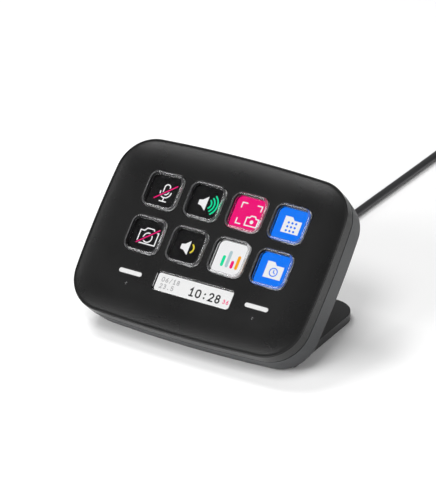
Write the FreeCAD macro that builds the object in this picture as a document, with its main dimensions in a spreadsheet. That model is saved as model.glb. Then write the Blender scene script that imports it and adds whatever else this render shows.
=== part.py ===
# Desk keypad with screen keys: a tilted face with clear push keys over one screen, a clock window,
# two touch points under light bars, a desk foot behind, and a thin cable with its plug.
#
# Part frame, in millimetres: X to the user's right, Y away from the user, Z up. The origin is on the desk,
# midway between the face's front edge and the foot's rear end.
# Head frame: x along the face to the right, y up the slope of the face, z out of the face. Its origin is
# the middle of the flat part of the face, and every level in the head is a z there.
import FreeCAD, Part
import math
import os

import Sketcher

SIZES = {
    # outline of the face, with four bowed sides
    "body_width": 107.5,
    "body_height": 78.0,
    "bow_radius_wide": 665.0,
    "bow_radius_tall": 450.0,
    "corner_radius": 15.9,
    # how the head stands on the desk
    "tilt_angle": 45.0,
    "desk_gap": 0.55,
    # front shell
    "rim_width": 1.2,
    "rim_height": 1.2,
    "dish_width": 8.0,
    "plate_thickness": 1.5,
    "wall": 2.2,
    "parting_depth": 4.8,
    "mark_radius": 0.7,
    "mark_depth": 0.25,
    # rear shell
    "rear_depth": 16.8,
    "rear_taper": 0.8,
    "rear_bevel": 1.2,
    "back_wall": 1.8,
    "groove_height": 0.4,
    "lip_height": 1.5,
    "lip_thickness": 0.9,
    "lip_gap": 0.15,
    "seat_gap": 0.1,
    # keys
    "side_margin": 16.3,
    "key_space": 3.5,
    "key_height": 15.4,
    "row_space": 4.2,
    "key_radius": 3.6,
    "key_proud": 0.9,
    "key_gap": 0.3,
    "key_travel": 0.8,
    "grid_rise": 7.7,
    "slide_gap": 0.2,
    "bottom_gap": 0.2,
    "flange_lip": 0.9,
    "flange_cut": 2.4,
    "flange_thickness": 0.7,
    "key_foot": 0.6,
    "key_foot_inset": 0.8,
    "key_foot_cut": 2.0,
    "ring_thickness": 0.5,
    "ring_gap": 0.15,
    # screen, its film and its tray
    "film_thickness": 0.2,
    "screen_margin": 2.2,
    "screen_thickness": 2.2,
    "tray_inset": 11.95,
    "tray_top": 29.3,
    "tray_bottom": 27.5,
    "tray_cut": 3.0,
    "tray_thickness": 1.2,
    "tray_rib": 1.0,
    "tray_rib_height": 1.5,
    "ear_end": 3.0,
    "ear_height": 30.0,
    "ear_screw_inset": 7.75,
    "ear_screw_y": 12.0,
    "ear_boss_radius": 2.4,
    # clock window and display
    "info_drop": 18.8,
    "info_width": 36.0,
    "info_height": 8.3,
    "info_radius": 1.5,
    "lens_gap": 0.15,
    "lens_recess": 0.25,
    "lens_flange": 1.25,
    "lens_flange_thickness": 0.6,
    "display_margin": 1.5,
    "display_thickness": 1.6,
    # light bars and touch points
    "bar_offset": 11.4,
    "bar_drop": 18.63,
    "bar_length": 10.7,
    "bar_height": 1.86,
    "bar_gap": 0.05,
    "bar_flange": 0.8,
    "bar_flange_thickness": 0.7,
    "mark_drop": 23.46,
    "side_board_width": 16.0,
    "side_board_height": 10.4,
    "side_board_drop": 20.6,
    "side_board_thickness": 0.8,
    "side_board_gap": 1.8,
    "led_width": 3.5,
    "led_height": 1.4,
    "led_thickness": 0.8,
    "touch_pad_side": 4.6,
    # main board
    "board_width": 76.0,
    "board_height": 34.0,
    "board_drop": 9.0,
    "board_depth": 9.0,
    "board_thickness": 1.2,
    "board_screw_inset_x": 5.0,
    "board_screw_inset_y": 3.5,
    "board_boss_radius": 2.3,
    "chip_side": 12.0,
    "chip_thickness": 0.9,
    "memory_width": 8.0,
    "memory_height": 10.0,
    "chip_spread": 14.0,
    "socket_width": 8.0,
    "socket_length": 4.0,
    "socket_thickness": 2.6,
    # screws
    "screw_shank": 1.1,
    "screw_head": 2.0,
    "screw_head_height": 1.4,
    "screw_play": 0.05,
    "screw_hole_gap": 0.2,
    "board_screw_shank": 0.9,
    "board_screw_head": 1.6,
    "board_screw_head_height": 1.0,
    "housing_screw_inset": 10.25,
    "housing_screw_y": 29.0,
    "housing_screw_recess": 2.6,
    "housing_screw_length": 11.5,
    "front_boss_radius": 2.9,
    "rear_boss_radius": 2.9,
    "tray_screw_length": 3.8,
    "board_screw_length": 3.0,
    "foot_screw_x": 24.0,
    "foot_screw_drop": 12.0,
    "foot_screw_bite": 1.9,
    "pilot_end": 0.4,
    # foot
    "foot_inset": 9.2,
    "foot_reach": 43.7,
    "foot_thickness": 3.5,
    "foot_corner": 10.5,
    "foot_edge": 0.6,
    "leg_thickness": 3.0,
    "leg_top": 3.0,
    "leg_corner": 12.0,
    "leg_bend": 3.0,
    "pad_thickness": 1.3,
    "pad_proud": 0.3,
    "pad_inset": 5.0,
    "pad_length": 44.5,
    "pad_cut": 4.0,
    "pad_gap": 0.2,
    # cable gland
    "lead_room": 3.9,
    "gland_neck": 3.4,
    "gland_flange": 4.6,
    "gland_flange_thickness": 1.2,
    "gland_gap": 0.1,
    "gland_length": 14.0,
    "gland_root": 3.6,
    "gland_tip": 2.4,
    "lead_radius": 0.9,
    "lead_bend": 1.5,
    # cable, coil and plug
    "cord_diameter": 3.5,
    "cord_lift": 0.1,
    "coil_outer": 49.0,
    "coil_pitch": 4.0,
    "tail_run": 16.0,
    "tail_drop_run": 24.0,
    "tail_turn": 4.0,
    "grip_length": 20.0,
    "grip_width": 10.6,
    "grip_thickness": 6.0,
    "grip_cut": 1.2,
    "shell_length": 6.6,
    "shell_width": 8.3,
    "shell_thickness": 2.4,
    "shell_cut": 0.7,
    # how far a cutting shape runs past what it cuts
    "overrun": 1.0,
}
KEY_COLUMNS = 4
KEY_ROWS = 2

# Curve of the dished border: how far in, and how deep, as shares of its width and its height
DISH_IN_SHARES = (0.0, 0.17, 0.5, 1.0)
DISH_DOWN_SHARES = (0.0, 0.37, 0.79, 1.0)
# Corner radius of a bar with round ends, just under half its height so that its short sides stay
BAR_END_SHARE = 0.499

# Sides of the small round forms: hidden posts and holes, screw heads and the gland, screw threads, the cable
POST_SIDES = 8
HEAD_SIDES = 10
THREAD_SIDES = 6
CORD_SIDES = 5

# How much of the shorter run beside a bend of the cable its arc takes
ARC_SHARE = 0.45

# The coil: quarter turns in each of its layers
LAYER_QUARTERS = 9
LAYERS = 2

doc = FreeCAD.newDocument("keypad")
sheet = doc.addObject("Spreadsheet::Sheet", "Sizes")
for row, (alias, number) in enumerate(SIZES.items(), start=1):
    sheet.set(f"A{row}", alias)
    sheet.set(f"B{row}", str(number))
    sheet.setAlias(f"B{row}", alias)
doc.recompute()

NODES = []


def size(alias):
    return float(sheet.get(alias))


def worth(formula):
    """The present value of a formula over the sheet."""
    return float(sheet.evalExpression(formula))


# Levels in the head, from the face down, as formulas over the sheet
PLATE_BACK = "(-Sizes.plate_thickness)"
PARTING = "(-Sizes.parting_depth)"
FLANGE_TOP = "(-Sizes.plate_thickness - Sizes.slide_gap)"
FLANGE_BACK = f"({FLANGE_TOP} - Sizes.flange_thickness)"
RING_BACK = f"({FLANGE_BACK} - Sizes.ring_thickness)"
FILM_TOP = f"({RING_BACK} - Sizes.key_travel - Sizes.bottom_gap)"
SCREEN_TOP = f"({FILM_TOP} - Sizes.film_thickness)"
SCREEN_BACK = f"({SCREEN_TOP} - Sizes.screen_thickness)"
TRAY_BACK = f"({SCREEN_BACK} - Sizes.tray_thickness)"
LENS_BACK = f"({PLATE_BACK} - Sizes.lens_flange_thickness)"
DISPLAY_BACK = f"({LENS_BACK} - Sizes.display_thickness)"
SIDE_BOARD_TOP = f"({PLATE_BACK} - Sizes.side_board_gap)"
SIDE_BOARD_BACK = f"({SIDE_BOARD_TOP} - Sizes.side_board_thickness)"
BOARD_TOP = "(-Sizes.board_depth)"
BOARD_BACK = "(-Sizes.board_depth - Sizes.board_thickness)"
REAR_BACK = "(-Sizes.rear_depth)"
REAR_INSIDE = "(-Sizes.rear_depth + Sizes.back_wall)"

# Spans in the head: the keys share what the two side margins and the spaces between them leave
GRID_WIDTH = "(Sizes.body_width - 2 * Sizes.side_margin)"
KEY_WIDTH = f"(({GRID_WIDTH} - {KEY_COLUMNS - 1} * Sizes.key_space) / {KEY_COLUMNS})"
COLUMN_PITCH = f"({KEY_WIDTH} + Sizes.key_space)"
ROW_PITCH = "(Sizes.key_height + Sizes.row_space)"
SCREEN_WIDTH = f"({GRID_WIDTH} + 2 * Sizes.screen_margin)"
SCREEN_HEIGHT = f"({KEY_ROWS - 1} * {ROW_PITCH} + Sizes.key_height + 2 * Sizes.screen_margin)"
FLANGE_WIDTH = f"({KEY_WIDTH} + 2 * Sizes.flange_lip)"
FLANGE_HEIGHT = "(Sizes.key_height + 2 * Sizes.flange_lip)"
KEY_FOOT_WIDTH = f"({KEY_WIDTH} - 2 * Sizes.key_foot_inset)"
KEY_FOOT_HEIGHT = "(Sizes.key_height - 2 * Sizes.key_foot_inset)"
WINDOW_WIDTH = f"({KEY_FOOT_WIDTH} + 2 * Sizes.ring_gap)"
WINDOW_HEIGHT = f"({KEY_FOOT_HEIGHT} + 2 * Sizes.ring_gap)"
BAR_SPREAD = "(Sizes.info_width / 2 + Sizes.bar_offset)"


def tilt():
    return math.radians(size("tilt_angle"))


def face_height():
    """Height of the face's middle above the desk: the back's lower edge clears it by desk_gap."""
    down = size("body_height") / 2 - size("rear_taper")
    behind = size("rear_depth") - size("rear_bevel")
    return down * math.sin(tilt()) + behind * math.cos(tilt()) + size("desk_gap")


def face_setback():
    """Y of the face's middle: the front edge and the foot's end lie equally far from the origin."""
    front = size("body_height") / 2 * math.cos(tilt()) + size("rim_height") * math.sin(tilt())
    return (front - size("foot_reach")) / 2


def head_placement(x=0.0, y=0.0, z=0.0):
    """A place in the head frame, turned with the head."""
    turned = FreeCAD.Rotation(FreeCAD.Vector(1, 0, 0), size("tilt_angle"))
    middle = FreeCAD.Vector(0, face_setback(), face_height())
    return FreeCAD.Placement(middle + turned.multVec(FreeCAD.Vector(x, y, z)), turned)


def key_places():
    """The middle of each key on the face, row by row from the upper left."""
    for row in range(KEY_ROWS):
        for column in range(KEY_COLUMNS):
            x = (column - (KEY_COLUMNS - 1) / 2) * worth(COLUMN_PITCH)
            y = ((KEY_ROWS - 1) / 2 - row) * worth(ROW_PITCH) + size("grid_rise")
            yield x, y


# Plain shapes from the sheet's values, for the moulded pieces


def rounded_wire(width, height, radius, x, y, level):
    """A rectangle with round corners, or a bar with round ends, about x and y at one level."""
    across, up = width / 2 - radius, height / 2 - radius
    arcs = []
    for side_x, side_y, start in ((1, 1, 0), (-1, 1, 90), (-1, -1, 180), (1, -1, 270)):
        middle = FreeCAD.Vector(x + side_x * across, y + side_y * up, level)
        arcs.append([middle + round_step(radius, start + turn) for turn in (0, 45, 90)])
    edges = []
    for arc, following in zip(arcs, arcs[1:] + arcs[:1]):
        edges.append(Part.Arc(*arc).toShape())
        if not arc[2].isEqual(following[0], Part.Precision.confusion()):
            edges.append(Part.LineSegment(arc[2], following[0]).toShape())
    return Part.Wire(edges)


def round_step(radius, degrees):
    """The step from a circle's middle to its rim, in one direction."""
    turn = math.radians(degrees)
    return FreeCAD.Vector(radius * math.cos(turn), radius * math.sin(turn), 0)


def corner_middle():
    """The middle of the face's upper right corner arc, which both bowed sides run into smoothly."""
    wide, tall, corner = size("bow_radius_wide"), size("bow_radius_tall"), size("corner_radius")
    below = FreeCAD.Vector(0, size("body_height") / 2 - wide, 0)
    beside = FreeCAD.Vector(size("body_width") / 2 - tall, 0, 0)
    between = beside - below
    along = ((wide - corner) ** 2 - (tall - corner) ** 2 + between.Length**2) / (2 * between.Length)
    aside = math.sqrt((wide - corner) ** 2 - along**2)
    ahead = FreeCAD.Vector(between).normalize()
    across = FreeCAD.Vector(ahead.y, -ahead.x, 0)
    return below, beside, below + ahead * along + across * aside


def bowed_wire(inset, level):
    """The face's outline, drawn in by an inset, at one level."""
    below, beside, corner = corner_middle()
    wide, tall = size("bow_radius_wide") - inset, size("bow_radius_tall") - inset
    top = below + (corner - below).normalize() * wide
    side = beside + (corner - beside).normalize() * tall
    bulge = corner + (side + top - corner * 2).normalize() * (size("corner_radius") - inset)
    apex = FreeCAD.Vector(0, size("body_height") / 2 - inset, 0)
    flank = FreeCAD.Vector(size("body_width") / 2 - inset, 0, 0)

    def at(point, side_x, side_y):
        return FreeCAD.Vector(point.x * side_x, point.y * side_y, level)

    stretches = [
        (at(side, 1, -1), at(flank, 1, 1), at(side, 1, 1)),
        (at(side, 1, 1), at(bulge, 1, 1), at(top, 1, 1)),
        (at(top, 1, 1), at(apex, 1, 1), at(top, -1, 1)),
        (at(top, -1, 1), at(bulge, -1, 1), at(side, -1, 1)),
        (at(side, -1, 1), at(flank, -1, 1), at(side, -1, -1)),
        (at(side, -1, -1), at(bulge, -1, -1), at(top, -1, -1)),
        (at(top, -1, -1), at(apex, 1, -1), at(top, 1, -1)),
        (at(top, 1, -1), at(bulge, 1, -1), at(side, 1, -1)),
    ]
    return Part.Wire([Part.Arc(*stretch).toShape() for stretch in stretches])


def prism(wire_at, top):
    """A wire filled and drawn up to a level."""
    rise = top - wire_at.BoundBox.ZMin
    return Part.Face(wire_at).extrude(FreeCAD.Vector(0, 0, rise))


def ring_of_corners(radius, sides):
    """Corners of a many-sided outline on a circle; an even one has flats towards x and y."""
    turns = [(number + 1 / 2) * 360 / sides for number in range(sides)]
    return [round_step(radius, turn) for turn in turns]


def many_sided(radius, sides, x, y, level):
    corners = [corner + FreeCAD.Vector(x, y, level) for corner in ring_of_corners(radius, sides)]
    return Part.makePolygon(corners + corners[:1])


def peg(radius, x, y, bottom, top, sides=POST_SIDES):
    """An upright peg between two levels, its corners on a circle."""
    return prism(many_sided(radius, sides, x, y, bottom), top)


def bore(radius, x, y, bottom, top, sides=POST_SIDES):
    """What a hole takes away between two levels, its flats touching a circle from outside."""
    return peg(radius / math.cos(math.pi / sides), x, y, bottom, top, sides)


def tapered_peg(low_radius, high_radius, bottom, top, sides):
    """A peg about the origin that changes its radius between two levels."""
    up = FreeCAD.Vector(0, 0, 1)
    low = [corner + up * bottom for corner in ring_of_corners(low_radius, sides)]
    high = [corner + up * top for corner in ring_of_corners(high_radius, sides)]
    outlines = [low, high]
    for number in range(sides):
        outlines.append([low[number - 1], low[number], high[number], high[number - 1]])
    faces = [Part.Face(Part.makePolygon(outline + outline[:1])) for outline in outlines]
    return Part.Solid(Part.makeShell(faces))


def block(width, height, x, y, bottom, top):
    return Part.makeBox(width, height, top - bottom, FreeCAD.Vector(x - width / 2, y - height / 2, bottom))


def four_places(x, y):
    return [(x, y), (-x, y), (-x, -y), (x, -y)]


def housing_screw_places():
    return four_places(size("body_width") / 2 - size("housing_screw_inset"), size("housing_screw_y"))


def ear_screw_places():
    return four_places(size("body_width") / 2 - size("ear_screw_inset"), size("ear_screw_y"))


def edges_at(shape, level):
    """Numbers of the edges that lie flat at one level."""
    near = Part.Precision.confusion() * 10
    return [
        number
        for number, edge in enumerate(shape.Edges, start=1)
        if abs(edge.BoundBox.ZMin - level) < near and abs(edge.BoundBox.ZMax - level) < near
    ]


def moulded(label, shape, placement):
    """A node whose shape comes from the functions above."""
    piece = doc.addObject("Part::Feature", label)
    piece.Label = label
    piece.Shape = shape
    piece.Placement = placement
    NODES.append(piece)
    return piece


# Drawn and padded pieces


def new_body(label, placement, kept=True):
    body = doc.addObject("PartDesign::Body", label)
    body.Label = label
    body.Placement = placement
    if kept:
        NODES.append(body)
    return body


def new_sketch(body, level="0", x="0", y="0", role="XY_Plane"):
    """A sketch on one of the body's own planes, moved by formulas over the sheet."""
    sketch = body.newObject("Sketcher::SketchObject", body.Label + "_sketch")
    plane = next(plane for plane in body.Origin.OriginFeatures if plane.Role == role)
    sketch.AttachmentSupport = [(plane, "")]
    sketch.MapMode = "FlatFace"
    sketch.setExpression("AttachmentOffset.Base.x", x)
    sketch.setExpression("AttachmentOffset.Base.y", y)
    sketch.setExpression("AttachmentOffset.Base.z", level)
    return sketch


def constrain(sketch, kind, *where, formula=None):
    """Add one constraint; a formula gives it a size from the sheet."""
    if formula is None:
        return sketch.addConstraint(Sketcher.Constraint(kind, *where))
    number = sketch.addConstraint(Sketcher.Constraint(kind, *where, worth(formula)))
    sketch.setExpression(f"Constraints[{number}]", formula)
    return number


def draw_rounded(sketch, width, height, radius, x=None, y=None):
    """A rectangle with round corners, about the sketch's origin or about a point given by formulas."""
    wide, high, round_off = worth(width), worth(height), worth(radius)
    middle = FreeCAD.Vector(worth(x) if x else 0, worth(y) if y else 0, 0)
    arcs = []
    lines = []
    sides = ((1, 1), (-1, 1), (-1, -1), (1, -1))
    for step, (side_x, side_y) in enumerate(sides):
        reach = FreeCAD.Vector(side_x * (wide / 2 - round_off), side_y * (high / 2 - round_off), 0)
        circle = Part.Circle(middle + reach, FreeCAD.Vector(0, 0, 1), round_off)
        start = step * math.pi / 2
        arcs.append(sketch.addGeometry(Part.ArcOfCircle(circle, start, start + math.pi / 2)))
    ends = [(sketch.Geometry[arc].StartPoint, sketch.Geometry[arc].EndPoint) for arc in arcs]
    for step in range(len(sides)):
        following = ends[(step + 1) % len(sides)][0]
        lines.append(sketch.addGeometry(Part.LineSegment(ends[step][1], following)))
    for step in range(len(sides)):
        constrain(sketch, "Tangent", arcs[step], 2, lines[step], 1)
        constrain(sketch, "Tangent", lines[step], 2, arcs[(step + 1) % len(sides)], 1)
        constrain(sketch, "Vertical" if step % 2 else "Horizontal", lines[step])
    for arc in arcs[1:]:
        constrain(sketch, "Equal", arcs[0], arc)
    constrain(sketch, "Radius", arcs[0], formula=radius)
    constrain(sketch, "DistanceX", lines[1], 1, lines[3], 1, formula=width)
    constrain(sketch, "DistanceY", lines[2], 1, lines[0], 1, formula=height)
    if x is None:
        constrain(sketch, "Symmetric", arcs[0], 3, arcs[2], 3, -1, 1)
        return
    point = sketch.addGeometry(Part.Point(middle), True)
    constrain(sketch, "DistanceX", -1, 1, point, 1, formula=x)
    constrain(sketch, "DistanceY", -1, 1, point, 1, formula=y)
    constrain(sketch, "Symmetric", arcs[0], 3, arcs[2], 3, point, 1)


def draw_cut(sketch, width, height, cut):
    """A rectangle with cut corners about the sketch's origin."""
    wide, high, off = worth(width) / 2, worth(height) / 2, worth(cut)
    shares = ((1, 0, 1, 1), (0, 1, 1, 1), (0, 1, -1, 1), (1, 0, -1, 1))
    shares += ((1, 0, -1, -1), (0, 1, -1, -1), (0, 1, 1, -1), (1, 0, 1, -1))
    corners = [
        FreeCAD.Vector((wide - off * (1 - in_x)) * side_x, (high - off * (1 - in_y)) * side_y, 0)
        for in_x, in_y, side_x, side_y in shares
    ]
    lines = []
    for corner, following in zip(corners, corners[1:] + corners[:1]):
        lines.append(sketch.addGeometry(Part.LineSegment(corner, following)))
    for line, following in zip(lines, lines[1:] + lines[:1]):
        constrain(sketch, "Coincident", line, 2, following, 1)
    for line, (in_x, in_y, side_x, side_y) in zip(lines, shares):
        far_x = f"{side_x} * ({width} / 2 - {1 - in_x} * {cut})"
        far_y = f"{side_y} * ({height} / 2 - {1 - in_y} * {cut})"
        constrain(sketch, "DistanceX", -1, 1, line, 1, formula=far_x)
        constrain(sketch, "DistanceY", -1, 1, line, 1, formula=far_y)


def raise_pad(body, sketch, height):
    pad = body.newObject("PartDesign::Pad", body.Label + "_pad")
    pad.Profile = sketch
    pad.setExpression("Length", height)
    return pad


def rounded_pad(body, width, height, radius, bottom, thickness, x="0", y="0"):
    """A plate or block with round corners, from a level up."""
    sketch = new_sketch(body, bottom, x, y)
    draw_rounded(sketch, width, height, radius)
    return raise_pad(body, sketch, thickness)


def cut_pad(body, width, height, cut, bottom, thickness):
    """A plate with cut corners, from a level up."""
    sketch = new_sketch(body, bottom)
    draw_cut(sketch, width, height, cut)
    return raise_pad(body, sketch, thickness)


def plate(label, width, height, thickness, x, y, level):
    """A plain plate in the head, about a place on the face."""
    piece = doc.addObject("Part::Box", label)
    piece.Label = label
    piece.setExpression("Length", width)
    piece.setExpression("Width", height)
    piece.setExpression("Height", thickness)
    piece.Placement = head_placement(x - worth(width) / 2, y - worth(height) / 2, worth(level))
    NODES.append(piece)
    return piece


def round_edges(body, base, numbers, radius):
    fillet = body.newObject("PartDesign::Fillet", body.Label + "_fillet")
    fillet.Base = (base, [f"Edge{number}" for number in numbers])
    fillet.setExpression("Radius", radius)
    return fillet


def bevel_edges(body, base, numbers, cut):
    bevel = body.newObject("PartDesign::Chamfer", body.Label + "_bevel")
    bevel.Base = (base, [f"Edge{number}" for number in numbers])
    bevel.setExpression("Size", cut)
    return bevel


# Front shell: a dished plate with a rim, a deep wall, and bosses behind


def dish():
    """The hollow of the face: the border curves down from the rim into the flat middle."""
    wires = []
    for inward, down in zip(DISH_IN_SHARES, DISH_DOWN_SHARES):
        inset = size("rim_width") + inward * size("dish_width")
        wires.append(bowed_wire(inset, size("rim_height") * (1 - down)))
    return Part.makeLoft(wires[::-1], True, True)


def key_openings():
    gap = size("key_gap")
    for x, y in key_places():
        wire = rounded_wire(
            worth(KEY_WIDTH) + 2 * gap,
            size("key_height") + 2 * gap,
            size("key_radius") + gap,
            x,
            y,
            worth(PLATE_BACK) - size("overrun"),
        )
        yield prism(wire, size("rim_height"))


def info_opening():
    low = worth(PLATE_BACK) - size("overrun")
    wire = rounded_wire(size("info_width"), size("info_height"), size("info_radius"), 0, -size("info_drop"), low)
    return prism(wire, size("rim_height"))


def bar_opening(side):
    play = 2 * size("bar_gap")
    width, height = size("bar_length") + play, size("bar_height") + play
    low = worth(PLATE_BACK) - size("overrun")
    x, y = side * worth(BAR_SPREAD), -size("bar_drop")
    return prism(rounded_wire(width, height, height / 2, x, y, low), size("rim_height"))


def touch_mark(side):
    """A shallow dent that the fingertip finds."""
    x, y = side * worth(BAR_SPREAD), -size("mark_drop")
    return peg(size("mark_radius"), x, y, -size("mark_depth"), size("rim_height"), HEAD_SIDES)


def front_housing():
    low, rim, behind = worth(PARTING), size("rim_height"), worth(PLATE_BACK)
    shell = prism(bowed_wire(0, low), rim).cut(dish())
    shell = shell.cut(prism(bowed_wire(size("wall"), low - size("overrun")), behind))
    bosses = []
    pilots = []
    housing_pilot = worth(REAR_BACK) + size("housing_screw_recess") + size("housing_screw_length")
    for x, y in housing_screw_places():
        bosses.append(peg(size("front_boss_radius"), x, y, low, behind))
        pilots.append(bore(pilot_radius(), x, y, low - size("overrun"), housing_pilot + size("pilot_end")))
    tray_pilot = worth(TRAY_BACK) + size("tray_screw_length")
    ear_seat = worth(SCREEN_BACK)
    for x, y in ear_screw_places():
        bosses.append(peg(size("ear_boss_radius"), x, y, ear_seat, behind))
        pilots.append(bore(pilot_radius(), x, y, ear_seat - size("overrun"), tray_pilot + size("pilot_end")))
    openings = [info_opening(), *key_openings()]
    for side in (-1, 1):
        openings += [bar_opening(side), touch_mark(side)]
    shell = shell.multiFuse(bosses).cut(pilots + openings)
    return moulded("front_housing", shell.removeSplitter(), head_placement())


def pilot_radius():
    return size("screw_shank") + size("screw_play")


# Rear shell: a tub whose lip enters the front shell, with a groove left between the two, and screw posts


def rear_housing():
    parting, back, inside = worth(PARTING), worth(REAR_BACK), worth(REAR_INSIDE)
    groove = parting - size("groove_height")
    lip_outer = size("wall") + size("lip_gap")
    lip_inner = lip_outer + size("lip_thickness")
    lip_top = parting + size("lip_height")
    overrun, taper, bevel = size("overrun"), size("rear_taper"), size("rear_bevel")
    sides = [bowed_wire(taper + bevel, back), bowed_wire(taper, back + bevel), bowed_wire(0, groove)]
    tub = Part.makeLoft(sides, True, True)
    shell = tub.fuse(prism(bowed_wire(lip_outer, groove), lip_top))
    shell = shell.cut(prism(bowed_wire(lip_inner, inside), lip_top + overrun))
    posts = []
    holes = []
    seat = back + size("housing_screw_recess")
    for x, y in housing_screw_places():
        posts.append(peg(size("rear_boss_radius"), x, y, inside, parting - size("seat_gap")))
        holes.append(bore(size("screw_shank") + size("screw_hole_gap"), x, y, back, parting))
        head = size("screw_head") + size("screw_hole_gap")
        holes.append(bore(head, x, y, back - overrun, seat, HEAD_SIDES))
    for x, y in board_screw_places():
        top = worth(BOARD_BACK) - size("seat_gap")
        end = worth(BOARD_TOP) - size("board_screw_length") - size("pilot_end")
        posts.append(peg(size("board_boss_radius"), x, y, inside, top))
        holes.append(bore(size("board_screw_shank") + size("screw_play"), x, y, end, top + overrun))
    for x, y in foot_screw_places():
        hole = size("screw_shank") + size("screw_hole_gap")
        holes.append(bore(hole, x, y, back - overrun, inside + overrun))
    hole = size("gland_neck") + size("gland_gap")
    holes.append(bore(hole, 0, gland_rise(), back - overrun, inside + overrun, HEAD_SIDES))
    shell = shell.multiFuse(posts).cut(holes)
    return moulded("rear_housing", shell.removeSplitter(), head_placement())


def board_screw_places():
    x = size("board_width") / 2 - size("board_screw_inset_x")
    y = size("board_height") / 2 - size("board_screw_inset_y")
    return [(place_x, place_y - size("board_drop")) for place_x, place_y in four_places(x, y)]


def foot_screw_places():
    return [(side * size("foot_screw_x"), -size("foot_screw_drop")) for side in (-1, 1)]


# Keys: a clear cap with a flange that the face plate keeps in, on a silicone spring ring


def key_cap(number, x, y):
    body = new_body(f"key_cap_{number}", head_placement(x, y))
    foot_level = f"{FLANGE_BACK} - Sizes.key_foot"
    cut_pad(body, KEY_FOOT_WIDTH, KEY_FOOT_HEIGHT, "Sizes.key_foot_cut", foot_level, "Sizes.key_foot")
    flange = [FLANGE_WIDTH, FLANGE_HEIGHT, "Sizes.flange_cut"]
    cut_pad(body, *flange, FLANGE_BACK, "Sizes.flange_thickness")
    rise = f"Sizes.key_proud - {FLANGE_TOP}"
    rounded_pad(body, KEY_WIDTH, "Sizes.key_height", "Sizes.key_radius", FLANGE_TOP, rise)
    return body


def key_ring(number, x, y):
    body = new_body(f"key_ring_{number}", head_placement(x, y))
    sketch = new_sketch(body, RING_BACK)
    draw_cut(sketch, FLANGE_WIDTH, FLANGE_HEIGHT, "Sizes.flange_cut")
    draw_cut(sketch, WINDOW_WIDTH, WINDOW_HEIGHT, "Sizes.key_foot_cut")
    raise_pad(body, sketch, "Sizes.ring_thickness")
    return body


# Screen under all the keys, with the switch film on it


def key_screen():
    plate("key_screen", SCREEN_WIDTH, SCREEN_HEIGHT, "Sizes.screen_thickness", 0, size("grid_rise"), SCREEN_BACK)


def contact_film():
    low, high = worth(SCREEN_TOP), worth(FILM_TOP)
    film = block(worth(SCREEN_WIDTH), worth(SCREEN_HEIGHT), 0, size("grid_rise"), low, high)
    window = worth(WINDOW_WIDTH), worth(WINDOW_HEIGHT)
    windows = [block(*window, x, y, low, high) for x, y in key_places()]
    return moulded("contact_film", film.cut(windows), head_placement())


# Clock window and its display


def info_lens():
    body = new_body("info_lens", head_placement(0, -size("info_drop")))
    flange = [f"(Sizes.info_{side} + 2 * Sizes.lens_flange)" for side in ("width", "height")]
    cut_pad(body, *flange, "Sizes.lens_flange", LENS_BACK, "Sizes.lens_flange_thickness")
    window = [f"Sizes.info_{side} - 2 * Sizes.lens_gap" for side in ("width", "height")]
    window.append("Sizes.info_radius - Sizes.lens_gap")
    rounded_pad(body, *window, PLATE_BACK, "Sizes.plate_thickness - Sizes.lens_recess")
    return body


def info_display():
    outline = [f"Sizes.info_{side} + 2 * Sizes.display_margin" for side in ("width", "height")]
    plate("info_display", *outline, "Sizes.display_thickness", 0, -size("info_drop"), DISPLAY_BACK)


# Light bars, the boards behind them and the sensor pads of the touch points


def light_bar(name, side):
    body = new_body(f"light_bar_{name}", head_placement(side * worth(BAR_SPREAD), -size("bar_drop")))
    flange = [f"(Sizes.bar_{way} + 2 * Sizes.bar_flange)" for way in ("length", "height")]
    level = f"{PLATE_BACK} - Sizes.bar_flange_thickness"
    cut_pad(body, *flange, "Sizes.bar_flange", level, "Sizes.bar_flange_thickness")
    end = f"{BAR_END_SHARE} * Sizes.bar_height"
    rounded_pad(body, "Sizes.bar_length", "Sizes.bar_height", end, PLATE_BACK, "Sizes.plate_thickness")
    return body


def side_board(name, side):
    outline = ["Sizes.side_board_width", "Sizes.side_board_height", "Sizes.side_board_thickness"]
    x, y = side * worth(BAR_SPREAD), -size("side_board_drop")
    plate(f"side_board_{name}", *outline, x, y, SIDE_BOARD_BACK)


def bar_leds():
    wide, high = size("led_width"), size("led_height")
    low = worth(SIDE_BOARD_TOP)
    y = -size("bar_drop")
    lamps = [block(wide, high, side * worth(BAR_SPREAD), y, low, low + size("led_thickness")) for side in (-1, 1)]
    return moulded("bar_leds", Part.makeCompound(lamps), head_placement())


def touch_pad(name, side):
    outline = ["Sizes.touch_pad_side", "Sizes.touch_pad_side", "Sizes.side_board_gap - Sizes.seat_gap"]
    plate(f"touch_pad_{name}", *outline, side * worth(BAR_SPREAD), -size("mark_drop"), SIDE_BOARD_TOP)


# Tray that carries the screen, the display and the side boards


def cut_wire(width, height, cut, x, y, level):
    """A rectangle with cut corners about a point, at one level."""
    wide, high = width / 2, height / 2
    corners = []
    for side_x, side_y in ((1, 1), (-1, 1), (-1, -1), (1, -1)):
        pair = [(wide * side_x, (high - cut) * side_y), ((wide - cut) * side_x, high * side_y)]
        corners += pair if side_x * side_y > 0 else pair[::-1]
    points = [FreeCAD.Vector(x + across, y + up, level) for across, up in corners]
    return Part.makePolygon(points + points[:1])


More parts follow.
